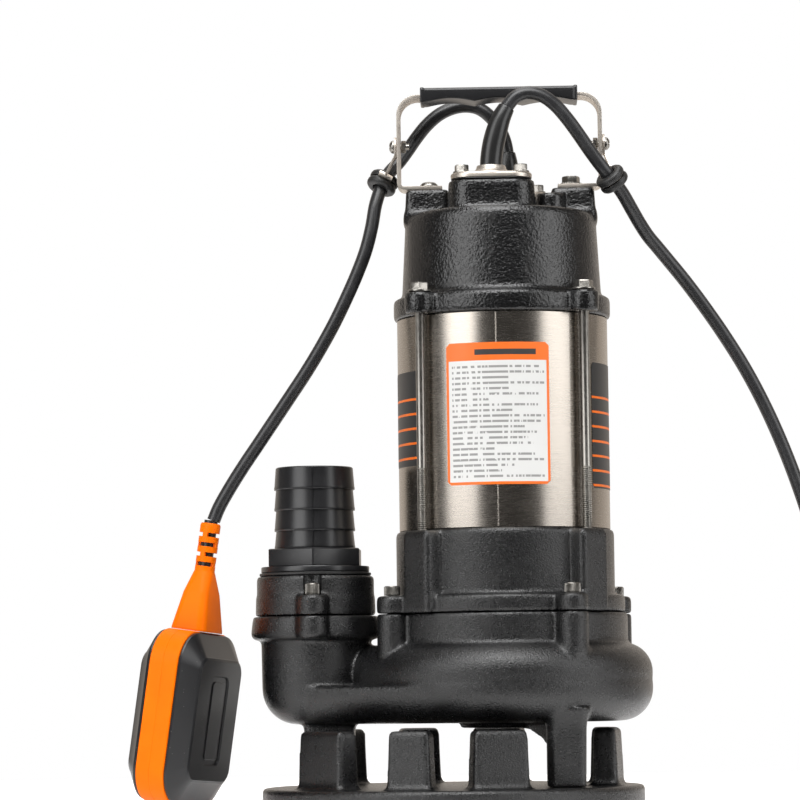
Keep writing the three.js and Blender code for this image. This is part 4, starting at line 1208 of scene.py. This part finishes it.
class PUMP_OT_handle(bpy.types.Operator):
    """Build the bent steel handle strap, its moulded grip and the foot screws"""
    bl_idname = "pump.handle"
    bl_label = "Handle"

    def execute(self, context):
        outer, inner = strap_outline(0.0), strap_outline(STRAP["thick"])
        rings = []
        for (x0, z0), (x1, z1) in zip(outer, inner):
            w = STRAP["width"]
            rings.append(np.array([(x0, -w, z0), (x0, w, z0), (x1, w, z1), (x1, -w, z1)]))
        strap = new_object("handle_strap_steel", rings_solid(rings))
        for side in (-1, 1):
            boolean(strap, rod(3.3, 380, 390, side * SCREW_X, 0, 24))
        boolean(strap, moved(rod(2.3, -70, 70, 0, 0, 24),
                             Matrix.Translation((0, 0, CLIP_Z)) @ Matrix.Rotation(math.pi / 2, 4, "Y")))
        bevel(strap, 0.95, 4, 50)
        finish_piece(strap, LOOKS["sheet"], "root", ("handle_strap",))

        grip = new_object("handle_grip_moulding", self.grip_solid())
        bevel(grip, 0.7, 3, 40)
        w = STRAP["width"] + 0.3
        boolean(grip, block(-60, 60, -w, w, STRAP["top"] - STRAP["thick"] - 0.3, STRAP["top"] + 0.3))
        finish_piece(grip, LOOKS["grip"], "root", ("handle_grip",))

        seat = BOSS_TOP + 0.3 + STRAP["thick"] + 0.3
        pan = turned([(0, seat), (5.6, seat), (5.7, seat + 0.5), (5.3, seat + 1.5), (4.0, seat + 2.7),
                      (2.0, seat + 3.2), (0, seat + 3.25)], 48)
        left = merged("handle_screw_left_pan", pan, rod(3, seat - 12, seat + 1, sides=24))
        boolean(left, hexagon(4.0, seat + 1.4, seat + 4))
        left.data.transform(Matrix.Translation((-SCREW_X * MM, 0, 0)))
        finish_piece(left, LOOKS["zinc"], "root", ("handle_screw_left",))
        rim = []
        for z, radius in ((seat, 6.2), (seat + 0.4, 6.5), (seat + 1.0, 6.4), (seat + 1.5, 5.6)):
            angles = 2 * math.pi * np.arange(96) / 96
            size = radius + 0.14 * np.cos(angles * 32)
            rim.append(np.column_stack([size * np.cos(angles), size * np.sin(angles), np.full(96, z)]))
        right = merged("handle_screw_right_hex", rings_solid(rim), hexagon(9.8, seat + 1, seat + 5.2, 0, 0, 8),
                       rod(3, seat - 12, seat + 1, sides=24))
        boolean(right, turned([(0, seat + 4.6), (3.0, seat + 4.6), (3.4, seat + 6), (0, seat + 6)], 32))
        right.data.transform(Matrix.Translation((SCREW_X * MM, 0, 0)))
        finish_piece(right, LOOKS["zinc"], "root", ("handle_screw_right",))
        return {"FINISHED"}

    @staticmethod
    def grip_solid():
        """The grip's section swept along X: upright sides over three shallow finger arches."""
        half = 49.0
        rings = []
        for x in np.linspace(-half, half, 113):
            lip = 1.0 if abs(x) > half - 2.6 else 0.0
            arch = abs(math.sin(math.pi * (x + 45) / 30)) if abs(x) < 45 else 0.0
            depth = 11.4 + 0.5 * lip
            high = 445.5 + 0.4 * lip
            low = 436.5 - 0.3 * lip + 2.1 * arch
            circles = [(-depth + 0.9, low + 0.9, 0.9), (depth - 0.9, low + 0.9, 0.9),
                       (-depth + 2.0, high - 2.0, 2.0), (depth - 2.0, high - 2.0, 2.0)]
            rings.append(np.column_stack([np.full(64, x), circle_outline(circles, 0, 64)]))
        return rings_solid(rings)


class PUMP_OT_glands(bpy.types.Operator):
    """Build both cord glands: rubber boot and gasket, domed steel plate, and screws"""
    bl_idname = "pump.glands"
    bl_label = "Cord Glands"

    def execute(self, context):
        for name, x, y, top, boot in (("front", -5.3, -27, 384, FRONT_BOOT), ("rear", 5.2, 27, 378, REAR_BOOT)):
            oval = [(x - 12, y, 13), (x + 12, y, 13)]
            seat = top + 2.6
            line = smooth_line(boot, 1.0)
            run = np.linspace(0, 1, len(line))
            radii = 6.85 - 1.8 * np.clip((run - 0.5) / 0.5, 0, 1) ** 2
            rubber = merged(f"gland_boot_{name}_rubber",
                            stack(oval, [(top + 0.3, 0.5), (top + 0.6, 0.2), (top + 0.9, 0.2), (top + 1.2, 1.9),
                                         (top + 2.4, 1.9)], 96),
                            tube(line, radii, 40))
            bevel(rubber, 0.5, 3, 60)
            finish_piece(rubber, LOOKS["boot"], "root", (f"gland_boot_{name}",))

            sheet = stack(oval, [(top + 1.1, 0.35), (top + 1.3, 0.05), (seat + 0.6, -0.1), (seat + 1.3, 0.1),
                                 (seat + 1.8, 0.6), (seat + 2.2, 1.6)], 128)
            dome = turned([(0, seat + 1), (13.4, seat + 1), (13.0, seat + 2.2), (11.6, seat + 2.9),
                           (10.2, seat + 3.6), (9.3, seat + 4.8), (9.0, seat + 6.0), (8.7, seat + 6.6),
                           (8.2, seat + 6.8), (0, seat + 6.8)], 96, x, y)
            plate = merged(f"gland_plate_{name}_steel", sheet, dome)
            boolean(plate, stack(oval, [(top, 1.5), (seat, 1.5)], 128))
            boolean(plate, turned([(0, seat - 2), (7.35, seat - 2), (7.35, seat + 6.2), (7.7, seat + 7),
                                   (7.7, seat + 9), (0, seat + 9)], 64, x, y))
            for side in (-1, 1):
                boolean(plate, rod(2.5, seat - 1, seat + 5, x + side * 18.2, y, 24))
            finish_piece(plate, LOOKS["sheet"], "root", (f"gland_plate_{name}",), sharp=50)
            for side, word in ((-1, "left"), (1, "right")):
                px = x + side * 18.2
                low = seat + 2.5
                washer = turned([(0, low), (5.3, low), (5.4, low + 0.3), (5.2, low + 0.9), (0, low + 0.9)], 40, px, y)
                head = hexagon(7.8, low + 0.8, low + 5.0, px, y, 11 + 25 * side)
                shank = rod(2, top - 8, low + 1, px, y, 20)
                screw = merged(f"gland_screw_{name}_{word}_hex", washer, head, shank)
                bevel(screw, 0.2, 2, 50)
                finish_piece(screw, LOOKS["zinc"], "root", (f"gland_screw_{name}_{word}",))
        return {"FINISHED"}


CLIPS = {
    "left": (-1, (-73.5, 13, 389.3), (-0.42, -0.33, -0.85)),
    "right": (1, (69.5, -17.5, 385.2), (0.56, 0.43, -0.71)),
}


def bar(start, end, across, thick, steps=1):
    """A flat bar between two points; across is its width as a vector."""
    start, end, across = (np.array(v, float) for v in (start, end, across))
    through = np.cross(end - start, across)
    through *= thick / 2 / np.linalg.norm(through)
    wide = across / 2
    ring = [wide + through, -wide + through, -wide - through, wide - through]
    return rings_solid([np.array([start + r for r in ring]), np.array([end + r for r in ring])])


class PUMP_OT_clips(bpy.types.Operator):
    """Build the two cord clips on the handle: bent link, rubber grommet, screw and nut"""
    bl_idname = "pump.clips"
    bl_label = "Cord Clips"

    def execute(self, context):
        for name, (side, centre, axis) in CLIPS.items():
            along_axis = Vector(axis).normalized()
            hub = Vector(centre)
            face = STRAP["half"] + 0.3
            elbow = Vector((side * (face + 0.75), -1, CLIP_Z - 5.8))
            reach = elbow - hub
            outwards = (reach - along_axis * reach.dot(along_axis)).normalized()
            neck_across = along_axis.cross(outwards) * 9
            round_tab = moved(rod(6, -0.7, 0.7, 0, 0, 40), Matrix.Translation((side * (face + 0.7), 0, CLIP_Z))
                              @ Matrix.Rotation(math.pi / 2, 4, "Y"))
            tab = bar((side * (face + 0.7), 0, CLIP_Z + 1), (side * (face + 0.7), 0, CLIP_Z - 6.5), (0, 12, 0), 1.4)
            arm = bar(elbow, hub + outwards * 13.2, (0, 7, 0), 1.4)
            neck = bar(hub + outwards * 7, hub + outwards * 13.8, neck_across, 1.4)
            eye = aimed(rod(7.4, -0.45, 0.45, 0, 0, 64), axis, centre)
            link = merged(f"clip_link_{name}_steel", round_tab, tab, arm, neck, eye)
            boolean(link, aimed(rod(6.5, -6, 6, 0, 0, 48), axis, centre))
            boolean(link, moved(rod(2.3, -80, 80, 0, 0, 24), Matrix.Translation((0, 0, CLIP_Z))
                                @ Matrix.Rotation(math.pi / 2, 4, "Y")))
            bevel(link, 0.35, 2, 50)
            finish_piece(link, LOOKS["sheet"], "root", (f"clip_link_{name}",))

            half = [(6.25, 0.55), (9.0, 0.5), (9.45, 1.5), (9.5, 2.6), (9.2, 3.8), (8.3, 4.7), (7.0, 5.1), (5.4, 5.1),
                    (4.7, 4.6)]
            spool = turned([(r, -z) for r, z in reversed(half)] + half, 64)
            grommet = new_object(f"cord_grommet_{name}_rubber", aimed(spool, axis, centre))
            finish_piece(grommet, LOOKS["rubber"], "root", (f"cord_grommet_{name}",), sharp=60)

            lay = Matrix.Translation((0, 0, CLIP_Z)) @ Matrix.Rotation(side * math.pi / 2, 4, "Y")
            seat = face + 1.7
            head = turned([(0, seat), (4.0, seat), (4.1, seat + 0.6), (3.7, seat + 1.6), (2.2, seat + 2.7),
                           (0, seat + 3.0)], 48)
            screw = merged(f"clip_screw_{name}_pan", head, rod(2, 56.5, seat + 1, 0, 0, 24))
            boolean(screw, block(-3.2, 3.2, -0.45, 0.45, seat + 1.6, seat + 4))
            boolean(screw, block(-0.45, 0.45, -3.2, 3.2, seat + 1.6, seat + 4))
            screw.data.transform(Matrix.Scale(MM, 4) @ lay @ Matrix.Scale(1 / MM, 4))
            finish_piece(screw, LOOKS["zinc"], "root", (f"clip_screw_{name}",))
            nut = merged(f"clip_nut_{name}_hex", hexagon(6.8, 58.5, 61.4))
            boolean(nut, rod(2.2, 50, 70, 0, 0, 24))
            nut.data.transform(Matrix.Scale(MM, 4) @ lay @ Matrix.Scale(1 / MM, 4))
            finish_piece(nut, LOOKS["zinc"], "root", (f"clip_nut_{name}",))
        return {"FINISHED"}


# ---------------------------------------------------------------------------
# Outlet
# ---------------------------------------------------------------------------

class PUMP_OT_discharge_flange(bpy.types.Operator):
    """Build the cast outlet flange with its two screw lugs, and the washer on it"""
    bl_idname = "pump.discharge_flange"
    bl_label = "Discharge Flange"

    def execute(self, context):
        low = 117.8
        x = OUTLET_X
        lugs = stack([(x, -38, 9.5), (x, 38, 9.5)], [(low, 0), (128.6, 0), (130, 1.2)], 128)
        cheeks = stack([(x, 0, 36.8)], [(low, -0.4), (129, -0.1), (130.4, 0.5)], 96)
        upper = turned([(0, low), (36.3, low), (36.3, 140.8), (35.4, 142.3), (0, 142.3)], 96, x)
        trims = [block(-180, -60, -60, 60, 110, low)]
        cutters = [rod(28.3, 116, 144, x, 0, 96)]
        cutters += [rod(3.3, 116, 131, lx, ly, 24) for lx, ly in OUTLET_LUGS]
        cutters += [stack([(lx, ly, 5.6)], [(130.05, 0), (144, -0.8)], 48) for lx, ly in OUTLET_LUGS]
        flange = cast("discharge_flange_casting", [lugs, cheeks, upper], cutters,
                      sizes().casting_voxel / MM, 5, trims)
        finish_piece(flange, LOOKS["casting"], "root", ("discharge_flange",))
        ring = turned([(28.4, 142.6), (34.3, 142.6), (34.6, 142.9), (34.6, 143.9), (34.3, 144.2), (28.4, 144.2)],
                      96, x)
        washer = new_object("barb_washer_rubber", ring)
        finish_piece(washer, LOOKS["rubber"], "root", ("barb_washer",))
        return {"FINISHED"}


class PUMP_OT_hose_barb(bpy.types.Operator):
    """Build the moulded hose barb: threaded end, collar, hexagon and four teeth"""
    bl_idname = "pump.hose_barb"
    bl_label = "Hose Barb"

    def execute(self, context):
        x = OUTLET_X
        teeth = (159.2, 170.2, 182.9, 195.8, 209.8)
        profile = [(20, 124), (27.4, 124), (27.8, 125)]
        z = 126.5
        while z < 142:
            profile += [(27.9, z), (27.2, z + 0.8), (27.9, z + 1.6)]
            z += 2.3
        profile += [(27.9, 144.5), (33.2, 144.5), (33.5, 144.9), (33.5, 147.6), (33.2, 148.1), (24.6, 148.1),
                    (24.6, 159.2)]
        for low, high in zip(teeth[:-1], teeth[1:]):
            profile += [(24.9, low), (25.05, low + 0.3), (25.05, low + 1.4), (24.85, low + 2.2), (24.0, high - 0.6),
                        (23.95, high)]
        profile[-1] = (23.3, 209.8)
        profile += [(20.6, 209.8), (20, 209.2)]
        pipe = new_object("hose_barb_moulding", turned(profile, 128, x))
        angles = math.radians(30) + math.pi / 3 * np.arange(6)
        rings = []
        for z, size in ((148.0, 31.6), (148.6, 32.3), (158.4, 32.3), (159.2, 31.7)):
            rings.append(np.column_stack([x + size * np.cos(angles), size * np.sin(angles), np.full(6, z)]))
        hexagonal = merged("hexagon", rings_solid(rings))
        bevel(hexagonal, 1.0, 3, 50)
        boolean(hexagonal, rod(24.0, 146, 162, x, 0, 128))
        fine = [v.co.copy() / MM for v in hexagonal.data.vertices]
        solid = (np.array(fine), [tuple(p.vertices) for p in hexagonal.data.polygons])
        bpy.data.objects.remove(hexagonal)
        boolean(pipe, solid, "UNION")
        for side in (-1, 1):
            line = block(x - 0.18, x + 0.18, side * 24.3 - 0.9, side * 24.3 + 0.9, 160.5, 208)
            boolean(pipe, line, "UNION")
        finish_piece(pipe, LOOKS["barb"], "root", ("hose_barb",), sharp=32)
        return {"FINISHED"}


# ---------------------------------------------------------------------------
# Float switch
# ---------------------------------------------------------------------------

FLOAT_CENTRE = (-199.5, 0.0, 56.2)
FLOAT_LEAN = math.radians(8)
FLOAT_TURN = math.radians(21.5)


def float_place():
    """The float's own frame: X across its width, Y up its length, Z through its thickness."""
    up = Vector((math.sin(FLOAT_LEAN), 0, math.cos(FLOAT_LEAN)))
    through = Vector((math.cos(FLOAT_TURN), -math.sin(FLOAT_TURN), 0))
    through = (through - up * through.dot(up)).normalized()
    across = up.cross(through)
    place = Matrix((across, up, through)).transposed().to_4x4()
    place.translation = FLOAT_CENTRE
    return place


def set_in_float(obj):
    """Carries a piece built in the float's own frame to its place."""
    obj.data.transform(Matrix.Scale(MM, 4) @ float_place() @ Matrix.Scale(1 / MM, 4))


class PUMP_OT_float(bpy.types.Operator):
    """Build the float: two black shells, the orange band between them, and the orange cord boot"""
    bl_idname = "pump.float_switch"
    bl_label = "Float"

    def execute(self, context):
        outline = rounded_rect(0, 0, 40, 53.5, 22)
        face = rounded_rect(0, 0, 29, 38, 9)
        hollow = rounded_rect(0, 0, 36.5, 50, 19)
        hollow_face = rounded_rect(0, 0, 25.5, 34.5, 6)
        for word, sign in (("right", 1), ("left", -1)):
            levels = [(outline, 9.9, 0.9), (outline, 10.5, 0.7), (outline, 11.5, 1.0), (outline, 11.9, 1.5),
                      (face, 19.4, -0.9), (face, 20.2, -0.3), (face, 21.0, 1.2)]
            shell = new_object(f"float_shell_{word}_moulding", self.loft(levels, 144))
            boolean(shell, self.loft([(hollow, 9.5, 0), (hollow, 11.0, 0), (hollow_face, 17.6, 0)], 96))
            panel = rounded_rect(0, 0, 11.5, 27, 4.5)
            boolean(shell, stack(panel, [(20.0, 0), (20.2, -0.2), (21.2, -0.8)], 64))
            rail = rings_solid([circle_outline(rounded_rect(0, 0, 8.6, 24, 3), inset, 64) @ np.eye(2, 3)
                                + np.array([0, 0, z]) for z, inset in ((19.8, 0), (20.5, 0), (20.7, 0.3))])
            boolean(shell, rail, "UNION")
            if sign < 0:
                shell.data.transform(Matrix.Diagonal((1, 1, -1, 1)))
                shell.data.flip_normals()
            set_in_float(shell)
            finish_piece(shell, LOOKS["plastic"], "float", (f"float_shell_{word}",), sharp=24)
        levels = [(-9.6, 0.9), (-9.3, 0.3), (-8.8, 0), (-0.3, 0), (-0.12, 0.14), (0.12, 0.14), (0.3, 0), (8.8, 0),
                  (9.3, 0.3), (9.6, 0.9)]
        band = new_object("float_band_moulding", stack(outline, levels, 192))
        boolean(band, stack(hollow, [(-13, 0), (13, 0)], 96))
        set_in_float(band)
        finish_piece(band, LOOKS["orange"], "float", ("float_band",), sharp=30)
        self.make_boot()
        return {"FINISHED"}

    @staticmethod
    def loft(levels, sides):
        """Outlines that may differ from level to level, given as (circles, height, inset)."""
        rings = []
        for circles, height, inset in levels:
            rings.append(np.column_stack([circle_outline(circles, inset, sides), np.full(sides, float(height))]))
        return rings_solid(rings)

    @staticmethod
    def make_boot():
        foot = 53.8
        wide = rounded_rect(0, 0, 16, 12, 6)
        waist = rounded_rect(0, 0, 11.5, 8.5, 5)
        neck = rounded_rect(0, 0, 6.7, 6.7, 6.4)
        skirt = PUMP_OT_float.loft([(wide, foot, 0), (wide, foot + 1.4, 0.05), (waist, 77.4, -0.2), (waist, 78.2, 0.1),
                                    (neck, 90, 0), (neck, 91.2, 0.5)], 96)
        relief = turned([(0, 88), (6.3, 88), (6.3, 119.8), (5.7, 121), (0, 121)], 48)
        boot = merged("float_boot_moulding", skirt, relief)
        bevel(boot, 0.5, 2, 40)
        boolean(boot, rod(4.55, 87, 123, sides=48))
        for number, height in enumerate((95.5, 101.6, 107.7, 113.8)):
            for side in (-1, 1):
                slot = block(1.5, 9, -9, 9, height - 1.25, height + 1.25)
                boolean(boot, spun(slot, 90 * (number % 2) + 90 + 90 * side))
        groove = block(10, 18, -1.0, -0.2, foot + 4, 76)
        boolean(boot, groove)
        core = new_object("float_cord_end", turned([(0, 87.4), (4.2, 87.4), (4.2, 122.9), (0, 122.9)], 36))
        stand = Matrix.Rotation(-math.pi / 2, 4, "X")
        for obj in (boot, core):
            obj.data.transform(stand)
            set_in_float(obj)
        finish_piece(boot, LOOKS["orange"], "float", ("float_boot",), sharp=34)
        finish_piece(core, LOOKS["cord"], "float")


# ---------------------------------------------------------------------------
# Add-on
# ---------------------------------------------------------------------------

OPERATORS = (
    PUMP_OT_stage, PUMP_OT_float_cord, PUMP_OT_supply_cord, PUMP_OT_strainer_base, PUMP_OT_pump_casing,
    PUMP_OT_oil_chamber, PUMP_OT_casting_screws, PUMP_OT_motor_sleeve, PUMP_OT_tie_rods, PUMP_OT_top_cover,
    PUMP_OT_handle, PUMP_OT_glands, PUMP_OT_clips, PUMP_OT_discharge_flange, PUMP_OT_hose_barb, PUMP_OT_float,
)


class PUMP_PT_sidebar(bpy.types.Panel):
    """Lists the pump's sizes, finishes and pieces"""
    bl_idname = "PUMP_PT_sidebar"
    bl_label = "Submersible Sewage Pump"
    bl_space_type = "VIEW_3D"
    bl_region_type = "UI"
    bl_category = "Pump"

    def draw(self, context):
        for group in (context.scene.pump_sizes, context.scene.pump_finish):
            box = self.layout.box()
            for name in group.__annotations__:
                box.prop(group, name)
        for operator in OPERATORS:
            self.layout.operator(operator.bl_idname)


CLASSES = (PumpSizes, PumpFinish) + OPERATORS + (PUMP_PT_sidebar,)


def register():
    for cls in CLASSES:
        bpy.utils.register_class(cls)
    bpy.types.Scene.pump_sizes = bpy.props.PointerProperty(type=PumpSizes)
    bpy.types.Scene.pump_finish = bpy.props.PointerProperty(type=PumpFinish)


def unregister():
    del bpy.types.Scene.pump_finish
    del bpy.types.Scene.pump_sizes
    for cls in reversed(CLASSES):
        bpy.utils.unregister_class(cls)


def main():
    register()
    for operator in OPERATORS:
        group, name = operator.bl_idname.split(".")
        getattr(getattr(bpy.ops, group), name)()


if __name__ == "__main__":
    main()
